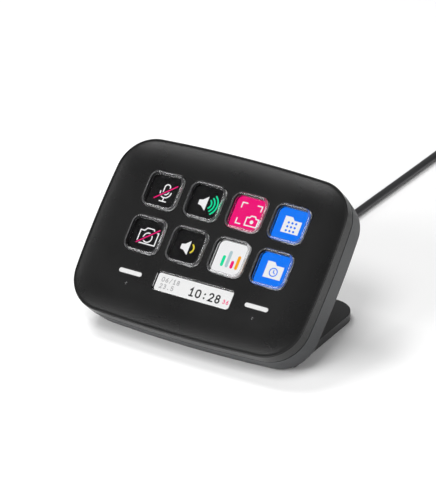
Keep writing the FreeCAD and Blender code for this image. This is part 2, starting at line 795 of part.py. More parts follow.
def screen_tray():
    low, high = worth(TRAY_BACK), worth(SCREEN_BACK)
    tall = size("tray_top") + size("tray_bottom")
    rise = (size("tray_top") - size("tray_bottom")) / 2
    wide = size("body_width") - 2 * size("tray_inset")
    base = prism(cut_wire(wide, tall, size("tray_cut"), 0, rise, low), high)
    ear_span = size("body_width") + 2 * (size("ear_end") - size("ear_screw_inset"))
    ears = prism(cut_wire(ear_span, size("ear_height"), size("tray_cut"), 0, 0, low), high)
    play = 2 * size("lip_gap")
    screen_wide, screen_high, middle = worth(SCREEN_WIDTH), worth(SCREEN_HEIGHT), size("grid_rise")
    thick = play + 2 * size("tray_rib")
    top = high + size("tray_rib_height")
    rib = block(screen_wide + thick, screen_high + thick, 0, middle, high, top)
    rib = rib.cut(block(screen_wide + play, screen_high + play, 0, middle, high, top))
    stands = [block(size("info_width"), size("info_height"), 0, -size("info_drop"), high, worth(DISPLAY_BACK))]
    for side in (-1, 1):
        wide, tall = size("side_board_width") - 2 * size("tray_rib"), size("side_board_height") / 2
        x, y = side * worth(BAR_SPREAD), -size("side_board_drop")
        stands.append(block(wide, tall, x, y, high, worth(SIDE_BOARD_BACK)))
    hole = size("screw_shank") + size("screw_hole_gap")
    holes = [
        bore(hole, x, y, low - size("overrun"), high + size("overrun"))
        for x, y in ear_screw_places()
    ]
    tray = base.multiFuse([ears, rib, *stands]).cut(holes)
    return moulded("screen_tray", tray.removeSplitter(), head_placement())


# Main board and what is on it


def main_board():
    low, high = worth(BOARD_BACK), worth(BOARD_TOP)
    board = block(size("board_width"), size("board_height"), 0, -size("board_drop"), low, high)
    hole = size("board_screw_shank") + size("screw_hole_gap")
    overrun = size("overrun")
    holes = [bore(hole, x, y, low - overrun, high + overrun) for x, y in board_screw_places()]
    return moulded("main_board", board.cut(holes), head_placement())


def chip(label, width, height, x):
    plate(label, width, height, "Sizes.chip_thickness", x, -size("board_drop"), BOARD_TOP)


def board_edge():
    return size("board_height") / 2 - size("board_drop") + size("seat_gap")


def gland_rise():
    """The cable enters above the socket, with room for the stripped end to turn into it."""
    return board_edge() + size("socket_length") + size("lead_room")


def socket_level():
    return worth(BOARD_TOP) - size("board_thickness") / 2


def cable_socket():
    outline = ["Sizes.socket_width", "Sizes.socket_length", "Sizes.socket_thickness"]
    level = f"{BOARD_TOP} - Sizes.board_thickness / 2 - Sizes.socket_thickness / 2"
    plate("cable_socket", *outline, 0, board_edge() + size("socket_length") / 2, level)


# Screws, each kind one node


def screw_set(label, places, seat, shank, head, head_height, length):
    """Screws with flat heads; a negative length points away from the face."""
    toward = 1 if length > 0 else -1
    screws = []
    for x, y in places:
        stem = peg(shank, x, y, min(seat, seat + length), max(seat, seat + length), THREAD_SIDES)
        far = seat - toward * head_height
        cap = peg(head, x, y, min(seat, far), max(seat, far), HEAD_SIDES)
        screws.append(stem.fuse(cap))
    return moulded(label, Part.makeCompound(screws), head_placement())


def screws():
    common = size("screw_shank"), size("screw_head"), size("screw_head_height")
    places = housing_screw_places()
    seat = worth(REAR_BACK) + size("housing_screw_recess")
    screw_set("housing_screws", places, seat, *common, size("housing_screw_length"))
    places = ear_screw_places()
    screw_set("tray_screws", places, worth(TRAY_BACK), *common, size("tray_screw_length"))
    length = -(size("back_wall") + size("seat_gap") + size("foot_screw_bite"))
    screw_set("foot_screws", foot_screw_places(), worth(REAR_INSIDE), *common, length)
    small = size("board_screw_shank"), size("board_screw_head"), size("board_screw_head_height")
    length = -size("board_screw_length")
    screw_set("board_screws", board_screw_places(), worth(BOARD_TOP), *small, length)


# Foot: a desk plate and a leg in one piece, with a rubber pad let into its underside


FOOT_WIDTH = "(Sizes.body_width - 2 * Sizes.foot_inset)"
PAD_WIDTH = f"({FOOT_WIDTH} - 2 * Sizes.pad_inset)"
PAD_LENGTH = "Sizes.pad_length"
PAD_MIDDLE = "Sizes.foot_reach - Sizes.pad_inset - Sizes.pad_length / 2"
PLAY = " + 2 * Sizes.pad_gap"


def foot_profile(body):
    """The foot's side view: Y to the right, Z up, Y counted from the face's middle."""
    lean = "(Sizes.tilt_angle * 1 deg)"
    down = f"(Sizes.body_height / 2 - Sizes.rear_taper) * sin({lean})"
    middle = f"({down} + (Sizes.rear_depth - Sizes.rear_bevel) * cos({lean}) + Sizes.desk_gap)"
    back = "(Sizes.rear_depth + Sizes.seat_gap)"
    top_y = f"Sizes.leg_top * cos({lean}) + {back} * sin({lean})"
    top_z = f"{middle} + Sizes.leg_top * sin({lean}) - {back} * cos({lean})"
    turn = tilt()
    slope = FreeCAD.Vector(math.cos(turn), math.sin(turn), 0)
    outward = FreeCAD.Vector(math.sin(turn), -math.cos(turn), 0)
    inner_top = FreeCAD.Vector(worth(top_y), worth(top_z), 0)
    outer_top = inner_top + outward * size("leg_thickness")
    low = size("pad_proud")
    high = low + size("foot_thickness")
    inner_low = inner_top - slope * ((inner_top.y - high) / slope.y)
    outer_low = outer_top - slope * ((outer_top.y - high) / slope.y)
    reach = size("foot_reach")
    corners = [
        FreeCAD.Vector(inner_low.x, low, 0),
        FreeCAD.Vector(reach, low, 0),
        FreeCAD.Vector(reach, high, 0),
        outer_low,
        outer_top,
        inner_top,
        inner_low,
    ]
    sketch = new_sketch(body, f"-{FOOT_WIDTH} / 2", role="YZ_Plane")
    lines = []
    for corner, following in zip(corners, corners[1:] + corners[:1]):
        lines.append(sketch.addGeometry(Part.LineSegment(corner, following)))
    for line, following in zip(lines, lines[1:] + lines[:1]):
        constrain(sketch, "Coincident", line, 2, following, 1)
    under, end, top, leg_back, leg_end, leg_front, toe = lines
    for line in (under, top):
        constrain(sketch, "Horizontal", line)
    for line in (end, toe):
        constrain(sketch, "Vertical", line)
    constrain(sketch, "Parallel", leg_back, leg_front)
    constrain(sketch, "Perpendicular", leg_end, leg_front)
    constrain(sketch, "Horizontal", top, 2, leg_front, 2)
    constrain(sketch, "DistanceX", -1, 1, end, 1, formula="Sizes.foot_reach")
    constrain(sketch, "DistanceY", -1, 1, end, 1, formula="Sizes.pad_proud")
    constrain(sketch, "DistanceY", end, 1, end, 2, formula="Sizes.foot_thickness")
    constrain(sketch, "Distance", leg_end, formula="Sizes.leg_thickness")
    constrain(sketch, "DistanceX", -1, 1, leg_front, 1, formula=top_y)
    constrain(sketch, "DistanceY", -1, 1, leg_front, 1, formula=top_z)
    constrain(sketch, "Angle", -1, 1, leg_front, 2, formula="Sizes.tilt_angle * 1 deg")
    return sketch


def foot():
    place = FreeCAD.Placement(FreeCAD.Vector(0, face_setback(), 0), FreeCAD.Rotation())
    body = new_body("foot_blank", place, kept=False)
    blank = raise_pad(body, foot_profile(body), FOOT_WIDTH)
    doc.recompute()
    high = size("pad_proud") + size("foot_thickness")
    near = Part.Precision.confusion() * 10
    upright = []
    leg_corners = []
    bend = []
    for number, edge in enumerate(blank.Shape.Edges, start=1):
        box = edge.BoundBox
        if box.XLength < near and abs(box.YMin - size("foot_reach")) < near:
            upright.append(number)
        elif box.XLength < near and box.ZMin > high + size("leg_thickness") and edge.Length < size("leg_corner"):
            leg_corners.append(number)
        elif box.XLength > near and abs(box.ZMax - high) < near and 0 > box.YMax > blank.Shape.BoundBox.YMin + near:
            bend.append(number)
    rear = round_edges(body, blank, upright, "Sizes.foot_corner")
    doc.recompute()
    leg = round_edges(body, rear, matching(rear.Shape, blank.Shape, leg_corners), "Sizes.leg_corner")
    doc.recompute()
    inner = round_edges(body, leg, matching(leg.Shape, blank.Shape, bend), "Sizes.leg_bend")
    doc.recompute()
    rim = [number for number in edges_at(inner.Shape, high) if inner.Shape.Edges[number - 1].BoundBox.YMax > 0]
    softened = bevel_edges(body, inner, rim, "Sizes.foot_edge")
    doc.recompute()
    sketch = new_sketch(body, "Sizes.pad_thickness", y=PAD_MIDDLE)
    draw_cut(sketch, f"({PAD_WIDTH}{PLAY})", f"({PAD_LENGTH}{PLAY})", "Sizes.pad_cut")
    recess = body.newObject("PartDesign::Pocket", "foot_recess")
    recess.Profile = sketch
    recess.setExpression("Length", "Sizes.pad_thickness")
    doc.recompute()
    if recess.Shape.Volume >= softened.Shape.Volume:
        raise ValueError("the pad's recess in the foot cuts nothing")
    holes = doc.addObject("Part::Feature", "foot_screw_holes")
    holes.Shape = foot_screw_holes()
    holes.Placement = head_placement()
    cut = doc.addObject("Part::Cut", "foot")
    cut.Label = "foot"
    cut.Base = body
    cut.Tool = holes
    NODES.append(cut)
    return cut


def matching(shape, before, numbers):
    """Numbers of a shape's edges that lie where these edges lay before the last step."""
    middles = [before.Edges[number - 1].CenterOfMass for number in numbers]
    near = Part.Precision.confusion() * 10
    return [
        number
        for number, edge in enumerate(shape.Edges, start=1)
        if any(edge.CenterOfMass.isEqual(middle, near) for middle in middles)
    ]


def foot_screw_holes():
    face = worth(REAR_BACK) - size("seat_gap")
    end = face - size("foot_screw_bite") - size("pilot_end")
    holes = [bore(pilot_radius(), x, y, end, face + size("overrun")) for x, y in foot_screw_places()]
    return Part.makeCompound(holes)


def foot_pad():
    place = FreeCAD.Placement(FreeCAD.Vector(0, face_setback(), 0), FreeCAD.Rotation())
    body = new_body("foot_pad", place)
    sketch = new_sketch(body, y=PAD_MIDDLE)
    draw_cut(sketch, PAD_WIDTH, PAD_LENGTH, "Sizes.pad_cut")
    raise_pad(body, sketch, "Sizes.pad_thickness")
    return body


# Cable gland: two flanges clamp the back wall, and a tapered boot leaves it


def cable_gland():
    """Levels count from the housing's back, the wall's inner side above it."""
    wall, flange = size("back_wall"), size("gland_flange_thickness")
    inner = peg(size("gland_flange"), 0, 0, wall, wall + flange, HEAD_SIDES)
    neck = peg(size("gland_neck"), 0, 0, 0, wall, HEAD_SIDES)
    outer = peg(size("gland_flange"), 0, 0, -flange, 0, HEAD_SIDES)
    boot = tapered_peg(size("gland_tip"), size("gland_root"), -size("gland_length"), -flange, HEAD_SIDES)
    gland = inner.multiFuse([neck, outer, boot]).removeSplitter()
    return moulded("cable_gland", gland, head_placement(0, gland_rise(), worth(REAR_BACK)))


def gland_tip():
    """Where the cable leaves the gland, in the part frame, and which way it points there."""
    place = head_placement(0, gland_rise(), worth(REAR_BACK) - size("gland_length"))
    return place.Base, place.Rotation.multVec(FreeCAD.Vector(0, 0, -1))


def inner_lead():
    """The cable's stripped end, from the gland round a bend to the socket."""
    start = FreeCAD.Vector(0, gland_rise(), worth(REAR_INSIDE) + size("gland_flange_thickness"))
    end = FreeCAD.Vector(0, board_edge() + size("socket_length"), socket_level())
    corner = FreeCAD.Vector(0, start.y, end.z)
    path, _ = rounded_path([start, corner, end], [size("lead_bend")])
    return moulded("inner_lead", tube(path, size("lead_radius")), head_placement())


# Cable: straight runs joined by tangent arcs, then a coil laid down in two layers, a tail and the plug


def rounded_path(points, radii=None):
    """Straight runs joined by arcs. Without radii, each arc is as large as its two runs allow."""
    edges = []
    used = []
    last = points[0]
    for number in range(1, len(points) - 1):
        before, corner, after = points[number - 1 : number + 2]
        back, ahead = (before - corner), (after - corner)
        half_turn = (math.pi - back.getAngle(ahead)) / 2
        shorter = min(back.Length, ahead.Length)
        radius = radii[number - 1] if radii else ARC_SHARE * shorter / math.tan(half_turn)
        reach = radius * math.tan(half_turn)
        start = corner + back.normalize() * reach
        end = corner + ahead.normalize() * reach
        inward = (back + ahead).normalize()
        middle = corner + inward * (radius / math.cos(half_turn) - radius)
        edges.append(Part.LineSegment(last, start).toShape())
        edges.append(Part.Arc(start, middle, end).toShape())
        used.append(radius)
        last = end
    edges.append(Part.LineSegment(last, points[-1]).toShape())
    return Part.Wire(edges), used


def tube(path, radius):
    """A many-sided tube along a path, checked against its section times its length."""
    start = path.Edges[0]
    along = start.tangentAt(start.FirstParameter)
    across = along.cross(FreeCAD.Vector(0, 0, 1))
    if across.Length < Part.Precision.confusion():
        across = FreeCAD.Vector(1, 0, 0)
    turned = FreeCAD.Rotation(across, along.cross(across), along, "ZXY")
    place = start.valueAt(start.FirstParameter)
    corners = [place + turned.multVec(corner) for corner in ring_of_corners(radius, CORD_SIDES)]
    shell = Part.BRepOffsetAPI.MakePipeShell(path)
    shell.add(Part.makePolygon(corners + corners[:1]))
    shell.build()
    shell.makeSolid()
    solid = shell.shape()
    section = CORD_SIDES / 2 * math.sin(2 * math.pi / CORD_SIDES) * radius**2
    wanted = section * path.Length
    if abs(solid.Volume - wanted) > wanted / 100:
        raise ValueError(f"a tube holds {solid.Volume:.1f}, not its section times its length, {wanted:.1f}")
    return solid


def cord_level():
    return size("cord_diameter") / 2 + size("cord_lift")


def cord_route():
    """Points of the free stretch, chosen by hand: down from the gland, then back along the desk."""
    tip, heading = gland_tip()
    landing = tip + heading * ((tip.z - cord_level()) / -heading.z)
    return [
        tip,
        landing,
        FreeCAD.Vector(0.1, 104.0, cord_level()),
        FreeCAD.Vector(2.3, 156.0, cord_level()),
        FreeCAD.Vector(4.0, 207.0, cord_level()),
    ]


def cable_run():
    route = cord_route()
    path, radii = rounded_path(route)
    print("cable run: length %.1f, radii" % path.Length, [round(radius, 1) for radius in radii])
    return moulded("cable_run", tube(path, size("cord_diameter") / 2), FreeCAD.Placement()), path.Length


def biarc(start, start_way, end, end_way):
    """Two arcs that join two points smoothly, each tangent to its point's direction."""
    span = end - start
    ways = start_way + end_way
    square = 2 * (1 - start_way.dot(end_way))
    slope = 2 * span.dot(ways)
    reach = (-slope + math.sqrt(slope**2 + 4 * square * span.dot(span))) / (2 * square)
    joint = (start + end + (start_way - end_way) * reach) / 2
    return [
        (start, arc_middle(start, start + start_way * reach, joint), joint),
        (joint, arc_middle(joint, end - end_way * reach, end), end),
    ]


def arc_middle(start, corner, end):
    """The middle of the arc that touches both sides of a corner at these ends."""
    chord = end - start
    foot_point = (start + end) / 2
    half = chord.getAngle(corner - start)
    rise = chord.Length / 2 * math.tan(half / 2)
    return foot_point + (corner - foot_point).normalize() * rise


def coil_state(quarter, heading_turn, middle):
    """Place and direction on the coil after some quarter turns, wound clockwise seen from above."""
    inward = quarter if quarter <= LAYER_QUARTERS else LAYERS * LAYER_QUARTERS - quarter
    radius = size("coil_outer") - size("coil_pitch") / 4 * inward
    reversal = quarter == LAYER_QUARTERS
    layer = 1 / 2 if reversal else quarter // LAYER_QUARTERS
    if quarter == LAYERS * LAYER_QUARTERS:
        layer = LAYERS - 1
    level = cord_level() + size("coil_pitch") * layer
    angle = heading_turn + math.pi / 2 - quarter * math.pi / 2
    outward = FreeCAD.Vector(math.cos(angle), math.sin(angle), 0)
    along = FreeCAD.Vector(outward.y, -outward.x, 0)
    drift = 0
    if not reversal and 0 < inward:
        drift = size("coil_pitch") / (2 * math.pi) * (1 if quarter > LAYER_QUARTERS else -1)
    climb = 3 / 2 * size("coil_pitch") / math.pi if reversal else 0
    way = along * radius + outward * drift + FreeCAD.Vector(0, 0, climb)
    return FreeCAD.Vector(middle.x, middle.y, level) + outward * radius, way.normalize()


def least_gap(path, diameter):
    """The least gap between the surfaces of a tube's turns, measured on points along its middle."""
    step = diameter / 3
    points = []
    for edge in path.Edges:
        points += edge.discretize(Number=max(2, round(edge.Length / step) + 1))[:-1]
    places = [(point.x, point.y, point.z) for point in points]
    apart = round(3 * diameter / step)
    least = math.inf
    for number, (x, y, z) in enumerate(places):
        for other_x, other_y, other_z in places[number + apart :]:
            least = min(least, (x - other_x) ** 2 + (y - other_y) ** 2 + (z - other_z) ** 2)
    return math.sqrt(least) - diameter


def cable_coil():
    before, start = cord_route()[-2:]
    heading = (start - before).normalize()
    diameter = size("cord_diameter")
    first = start + heading * diameter
    aside = FreeCAD.Vector(heading.y, -heading.x, 0)
    middle = first + aside * size("coil_outer")
    heading_turn = math.atan2(heading.y, heading.x)
    edges = [Part.LineSegment(start, first).toShape()]
    tightest = math.inf
    point, way = first, heading
    for quarter in range(1, LAYERS * LAYER_QUARTERS + 1):
        following, next_way = coil_state(quarter, heading_turn, middle)
        for arc in biarc(point, way, following, next_way):
            edges.append(Part.Arc(*arc).toShape())
            tightest = min(tightest, edges[-1].Curve.Radius)
        point, way = following, next_way
    end = point + way * diameter
    edges.append(Part.LineSegment(point, end).toShape())
    path = Part.Wire(edges)
    gap = least_gap(path, diameter)
    print("coil: length %.1f, tightest radius %.2f, least gap %.2f" % (path.Length, tightest, gap))
    moulded("cable_coil", tube(path, diameter / 2), FreeCAD.Placement())
    return end, way, path.Length


def cable_tail(start, way):
    """From the coil's upper layer down to the desk, turning a little outward, to the plug."""
    plug_level = size("grip_thickness") / 2 + size("cord_lift")
    turned = FreeCAD.Rotation(FreeCAD.Vector(0, 0, 1), size("tail_turn")).multVec(way)
    first = start + way * size("tail_run")
    second = first + turned * size("tail_drop_run")
    second.z = plug_level
    third = second + way * size("tail_run")
    path, radii = rounded_path([start, first, second, third])
    print("cable tail: length %.1f, radii" % path.Length, [round(radius, 1) for radius in radii])
    moulded("cable_tail", tube(path, size("cord_diameter") / 2), FreeCAD.Placement())
    return third, way, path.Length


def plug(end, way):
    """The grip and the metal shell, in line with the end of the cable."""
    flat = FreeCAD.Vector(0, 0, 1)
    side = flat.cross(way).normalize()
    up = way.cross(side)
    place = FreeCAD.Placement(end, FreeCAD.Rotation(side, up, way, "ZXY"))
    grip = new_body("plug_grip", place)
    outline = ["Sizes.grip_width", "Sizes.grip_thickness", "Sizes.grip_cut"]
    cut_pad(grip, *outline, "0", "Sizes.grip_length")
    shell = new_body("plug_shell", place)
    outline = ["Sizes.shell_width", "Sizes.shell_thickness", "Sizes.shell_cut"]
    cut_pad(shell, *outline, "Sizes.grip_length", "Sizes.shell_length")


front_housing()
rear_housing()
for number, (x, y) in enumerate(key_places(), start=1):
    key_cap(number, x, y)
    key_ring(number, x, y)
contact_film()
key_screen()
info_lens()
info_display()
for name, side in (("left", -1), ("right", 1)):
    light_bar(name, side)
    side_board(name, side)
    touch_pad(name, side)
bar_leds()
screen_tray()
main_board()
chip("controller_chip", "Sizes.chip_side", "Sizes.chip_side", -size("chip_spread"))
chip("memory_chip", "Sizes.memory_width", "Sizes.memory_height", size("chip_spread"))
cable_socket()
screws()
foot()
foot_pad()
cable_gland()
inner_lead()
_, run_length = cable_run()
coil_end, coil_way, coil_length = cable_coil()
tail_end, tail_way, tail_length = cable_tail(coil_end, coil_way)
plug(tail_end, tail_way)
print("cable from the gland to the plug: %.1f" % (run_length + coil_length + tail_length))

doc.recompute()
for thing in doc.Objects:
    if {"Invalid", "Error"} & set(thing.State):
        raise ValueError(f"{thing.Label} didn't build: {thing.State}")
for node in NODES:
    if node.Shape.isNull() or not node.Shape.isValid():
        raise ValueError(f"{node.Label} has no valid shape")
    if not node.Shape.Solids:
        raise ValueError(f"{node.Label} has no solid")

os.makedirs("parts", exist_ok=True)
for node in NODES:
    node.Shape.exportStep(f"parts/{node.Label}.step")
print(len(NODES), "nodes written")
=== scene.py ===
import bpy
import bmesh
import math
from mathutils import Matrix, Vector


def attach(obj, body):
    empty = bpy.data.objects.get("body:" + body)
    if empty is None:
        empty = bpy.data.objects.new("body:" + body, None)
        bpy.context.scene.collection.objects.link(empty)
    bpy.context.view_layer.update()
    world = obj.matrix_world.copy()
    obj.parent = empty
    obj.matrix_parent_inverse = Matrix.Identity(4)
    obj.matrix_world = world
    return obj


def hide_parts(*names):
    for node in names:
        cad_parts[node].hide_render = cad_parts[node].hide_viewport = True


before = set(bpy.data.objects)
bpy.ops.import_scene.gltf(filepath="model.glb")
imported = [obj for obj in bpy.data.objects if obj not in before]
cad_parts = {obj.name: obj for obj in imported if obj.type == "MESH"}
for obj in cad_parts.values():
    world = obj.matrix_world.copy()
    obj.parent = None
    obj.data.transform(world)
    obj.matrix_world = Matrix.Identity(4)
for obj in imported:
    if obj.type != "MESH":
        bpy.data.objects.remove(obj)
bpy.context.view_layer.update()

# View of the keypad: from the user's right, a little above, from 1.3 m away, with a long lens.
# The picture is 436 pixels wide and 484 high, and its long side takes the sensor's 36 mm.
FACE_MIDDLE = Vector((0.0, -0.0076372, 0.0385923))
CAMERA_FROM_FACE = Vector((0.6041, -0.9771, 0.5920))
LOOKING = Vector((-0.4656, 0.758, -0.4568))
UPRIGHT = Vector((-0.2318, 0.3937, 0.8896))
PICTURE_HIGH, FOCAL_PIXELS, SENSOR_WIDE = 484, 3244.9, 36.0
NEAREST, FARTHEST = 0.05, 20.0
view_camera = bpy.data.cameras.new("view")
view_camera.sensor_width = SENSOR_WIDE
view_camera.lens = FOCAL_PIXELS * SENSOR_WIDE / PICTURE_HIGH
view_camera.clip_start, view_camera.clip_end = NEAREST, FARTHEST
looking = LOOKING.normalized()
rightward = looking.cross(UPRIGHT).normalized()
upward = rightward.cross(looking)
camera = bpy.data.objects.new("view", view_camera)
camera.matrix_world = Matrix.Translation(FACE_MIDDLE + CAMERA_FROM_FACE) @ Matrix(
    (rightward, upward, -looking)).transposed().to_4x4()
bpy.context.scene.collection.objects.link(camera)
bpy.context.scene.camera = camera

# Front shell: one dished moulding of black plastic with a raised rim, openings for the keys, the clock
# and the light bars, and two small dents for the touch points. Screw bosses stand on its back, and its
# deep wall meets the rear shell.
MM = 0.001
TILT = 45.0
HEAD = Matrix.Translation(FACE_MIDDLE) @ Matrix.Rotation(math.radians(TILT), 4, "X") @ Matrix.Scale(MM, 4)
CORNERS = ((1, 1), (-1, 1), (-1, -1), (1, -1))
BODY_WIDE, BODY_HIGH, CORNER = 107.5, 78.0, 15.9
BOW_WIDE, BOW_TALL = 665.0, 450.0
BOW_STEPS_TALL, BOW_STEPS_WIDE, CORNER_STEPS = 12, 16, 16
RIM_HIGH, RIM_WIDE, DISH_WIDE, DISH_POWER, DISH_STEPS = 1.2, 1.2, 11.5, 2.1, 20
PLATE_BACK, PARTING, WALL = -1.5, -4.8, 2.2
RIM_ROUND, MOULD_ROUND = 0.35, 0.2
KEY_WIDE, KEY_HIGH, KEY_CORNER, KEY_GAP = 16.1, 15.4, 3.6, 0.3
KEY_PITCH, GRID_RISE = 19.6, 7.7
KEY_PLACES = [((column - 1.5) * KEY_PITCH, GRID_RISE + (0.5 - row) * KEY_PITCH)
              for row in (0, 1) for column in range(4)]
CLOCK_WIDE, CLOCK_HIGH, CLOCK_CORNER, CLOCK_DROP = 36.0, 8.3, 1.5, 18.8
BAR_LONG, BAR_HIGH, BAR_GAP, BAR_SPREAD, BAR_DROP = 10.7, 1.86, 0.05, 29.4, 18.63
BAR_ROUND_SHARE = 0.499
MARK_DROP, MARK_RADIUS, MARK_SIDES = 23.46, 0.7, 20
MARK_SHAPE = [(0, 0), (0.06, -0.05), (0.25, -0.17), (0.45, -0.25)]
SCREW_PLACES = [(side_x * 43.5, side_y * 29.0) for side_x, side_y in CORNERS]
EAR_PLACES = [(side_x * 46.0, side_y * 12.0) for side_x, side_y in CORNERS]
BOSS_RADIUS, EAR_BOSS_RADIUS, EAR_BOSS_END, BOSS_SIDES = 2.9, 2.4, -6.3, 24
SHARP_EDGE = math.radians(35.0)
# A mix node's colour sockets share their names with others, so they are given by number
MIX_FIRST, MIX_SECOND, MIX_RESULT = 6, 7, 2
SOFT_DETAIL, FINE_DETAIL, GRAIN_RELIEF_SHARE = 4.0, 2.0, 0.25


def finish(name, tone, other_tone, roughness, patch, grain=0.0, grain_size=0.0004, rough_spread=0.06, **more):
    """A solid finish: two near tones in soft patches, uneven gloss, and a fine grain in the mould.

    The sizes of the patches and of the grain are in metres.
    """
    made = bpy.data.materials.new(name)
    made.use_nodes = True
    nodes, links = made.node_tree.nodes, made.node_tree.links
    shader = nodes["Principled BSDF"]
    for socket, value in more.items():
        shader.inputs[socket.replace("_", " ")].default_value = value
    place = nodes.new("ShaderNodeTexCoord")
    soft = nodes.new("ShaderNodeTexNoise")
    soft.inputs["Scale"].default_value = 1 / patch
    soft.inputs["Detail"].default_value = SOFT_DETAIL
    tones = nodes.new("ShaderNodeMix")
    tones.data_type = "RGBA"
    tones.inputs[MIX_FIRST].default_value = (*tone, 1)
    tones.inputs[MIX_SECOND].default_value = (*other_tone, 1)
    gloss = nodes.new("ShaderNodeMapRange")
    gloss.inputs["To Min"].default_value = roughness - rough_spread
    gloss.inputs["To Max"].default_value = roughness + rough_spread
    links.new(place.outputs["Object"], soft.inputs["Vector"])
    links.new(soft.outputs["Fac"], tones.inputs["Factor"])
    links.new(soft.outputs["Fac"], gloss.inputs["Value"])
    links.new(tones.outputs[MIX_RESULT], shader.inputs["Base Color"])
    links.new(gloss.outputs["Result"], shader.inputs["Roughness"])
    if grain:
        fine = nodes.new("ShaderNodeTexNoise")
        fine.inputs["Scale"].default_value = 1 / grain_size
        fine.inputs["Detail"].default_value = FINE_DETAIL
        raised = nodes.new("ShaderNodeBump")
        raised.inputs["Strength"].default_value = grain
        raised.inputs["Distance"].default_value = grain_size * GRAIN_RELIEF_SHARE
        links.new(place.outputs["Object"], fine.inputs["Vector"])
        links.new(fine.outputs["Fac"], raised.inputs["Height"])
        links.new(raised.outputs["Normal"], shader.inputs["Normal"])
    return made


def arc(middle, radius, start, end, steps):
    """Points on an arc, the last one left to what follows."""
    turns = [start + (end - start) * step / steps for step in range(steps)]
    return [(middle[0] + radius * math.cos(turn), middle[1] + radius * math.sin(turn)) for turn in turns]


def rounded_outline(wide, high, radius, steps=7):
    """A rectangle with round corners about the origin."""
    across, up = wide / 2 - radius, high / 2 - radius
    points = []
    for number, (side_x, side_y) in enumerate(CORNERS):
        start, end = number * math.pi / 2, (number + 1) * math.pi / 2
        middle_x, middle_y = side_x * across, side_y * up
        points += arc((middle_x, middle_y), radius, start, end, steps)
        points.append((middle_x + radius * math.cos(end), middle_y + radius * math.sin(end)))
    return points


def circle_outline(radius, steps=32):
    """A circle about the origin."""
    return arc((0, 0), radius, 0, 2 * math.pi, steps)


def bowed_outline(inset):
    """The face's outline, drawn in by an inset: bowed sides that run smoothly into round corners."""
    below, beside = Vector((0, BODY_HIGH / 2 - BOW_WIDE)), Vector((BODY_WIDE / 2 - BOW_TALL, 0))
    between = beside - below
    wide, tall, apart = BOW_WIDE - CORNER, BOW_TALL - CORNER, between.length
    along = (wide**2 - tall**2 + apart**2) / (2 * apart)
    ahead = between / apart
    corner = below + ahead * along + Vector((ahead.y, -ahead.x)) * math.sqrt(wide**2 - along**2)
    low, high = [math.atan2(*reversed(corner - middle)) for middle in (beside, below)]
    quarter = arc(beside, BOW_TALL - inset, 0, low, BOW_STEPS_TALL)
    quarter += arc(corner, CORNER - inset, low, high, CORNER_STEPS)
    quarter += arc(below, BOW_WIDE - inset, high, math.pi / 2, BOW_STEPS_WIDE)
    quarter.append((0.0, BODY_HIGH / 2 - inset))
    half = quarter + [(-x, y) for x, y in quarter[-2::-1]]
    return half + [(x, -y) for x, y in half[-2:0:-1]]


def rounding(inset, level, across, down=None, steps=4):
    """A soft edge from a side over to a flat: insets and levels in order."""
    drop = down or across
    turns = [math.pi / 2 * step / steps for step in range(steps + 1)]
    return [(inset + across * (1 - math.cos(turn)), level - drop * (1 - math.sin(turn))) for turn in turns]


def soft_lip(level, end, radius=MOULD_ROUND, outward=1):
    """The edge of an opening: from the flat round into the hole, and on to its far end."""
    edge = [(-inset, level + outward * drop) for inset, drop in reversed(rounding(0, 0, radius, steps=3))]
    return [*edge, (0, end)]


def ring(bm, outline, level, x=0.0, y=0.0):
    """The corners of an outline at a level."""
    return [bm.verts.new((x + across, y + up, level)) for across, up in outline]


def wall(bm, ring_a, ring_b):
    """Faces between two rings with as many corners."""
    for one, two in zip(range(len(ring_a)), [*range(1, len(ring_a)), 0]):
        bm.faces.new((ring_a[one], ring_a[two], ring_b[two], ring_b[one]))


def sweep(bm, outline_at, profile, x=0.0, y=0.0):
    """Rings joined by walls, one for each inset and level of a profile. Returns the first and the last."""
    rings = [ring(bm, outline_at(inset), level, x, y) for inset, level in profile]
    for before, after in zip(rings, rings[1:]):
        wall(bm, before, after)
    return rings[0], rings[-1]


def cover(bm, outer, holes=()):
    """A flat face inside a ring, open at the rings of its holes."""
    if not holes:
        bm.faces.new(outer)
        return
    edges = []
    for loop in (outer, *holes):
        for one, two in zip(loop, loop[1:] + loop[:1]):
            edges.append(bm.edges.get((one, two)) or bm.edges.new((one, two)))
    bmesh.ops.triangle_fill(bm, use_beauty=True, use_dissolve=False, edges=edges, normal=(0, 0, 1))


def post(bm, place, radius, root, end):
    """A round post or boss on a flat. Returns the ring where it stands."""
    stand, tip = sweep(bm, lambda inset: circle_outline(radius, BOSS_SIDES), [(0, root), (0, end)], *place)
    cover(bm, tip)
    return stand


def shaped(name, bm, *materials, place, even=True):
    """A finished piece from its mesh: closed, smooth but for its edges, and in its place."""
    bmesh.ops.recalc_face_normals(bm, faces=bm.faces)
    mesh = bpy.data.meshes.new(name)
    bm.to_mesh(mesh)
    bm.free()
    mesh.transform(place)
    for material in materials:
        mesh.materials.append(material)
    mesh.shade_smooth()
    mesh.set_sharp_from_angle(angle=SHARP_EDGE)
    piece = bpy.data.objects.new(name, mesh)
    bpy.context.scene.collection.objects.link(piece)
    if even:
        piece.modifiers.new("even_shading", "WEIGHTED_NORMAL").keep_sharp = True
    return piece


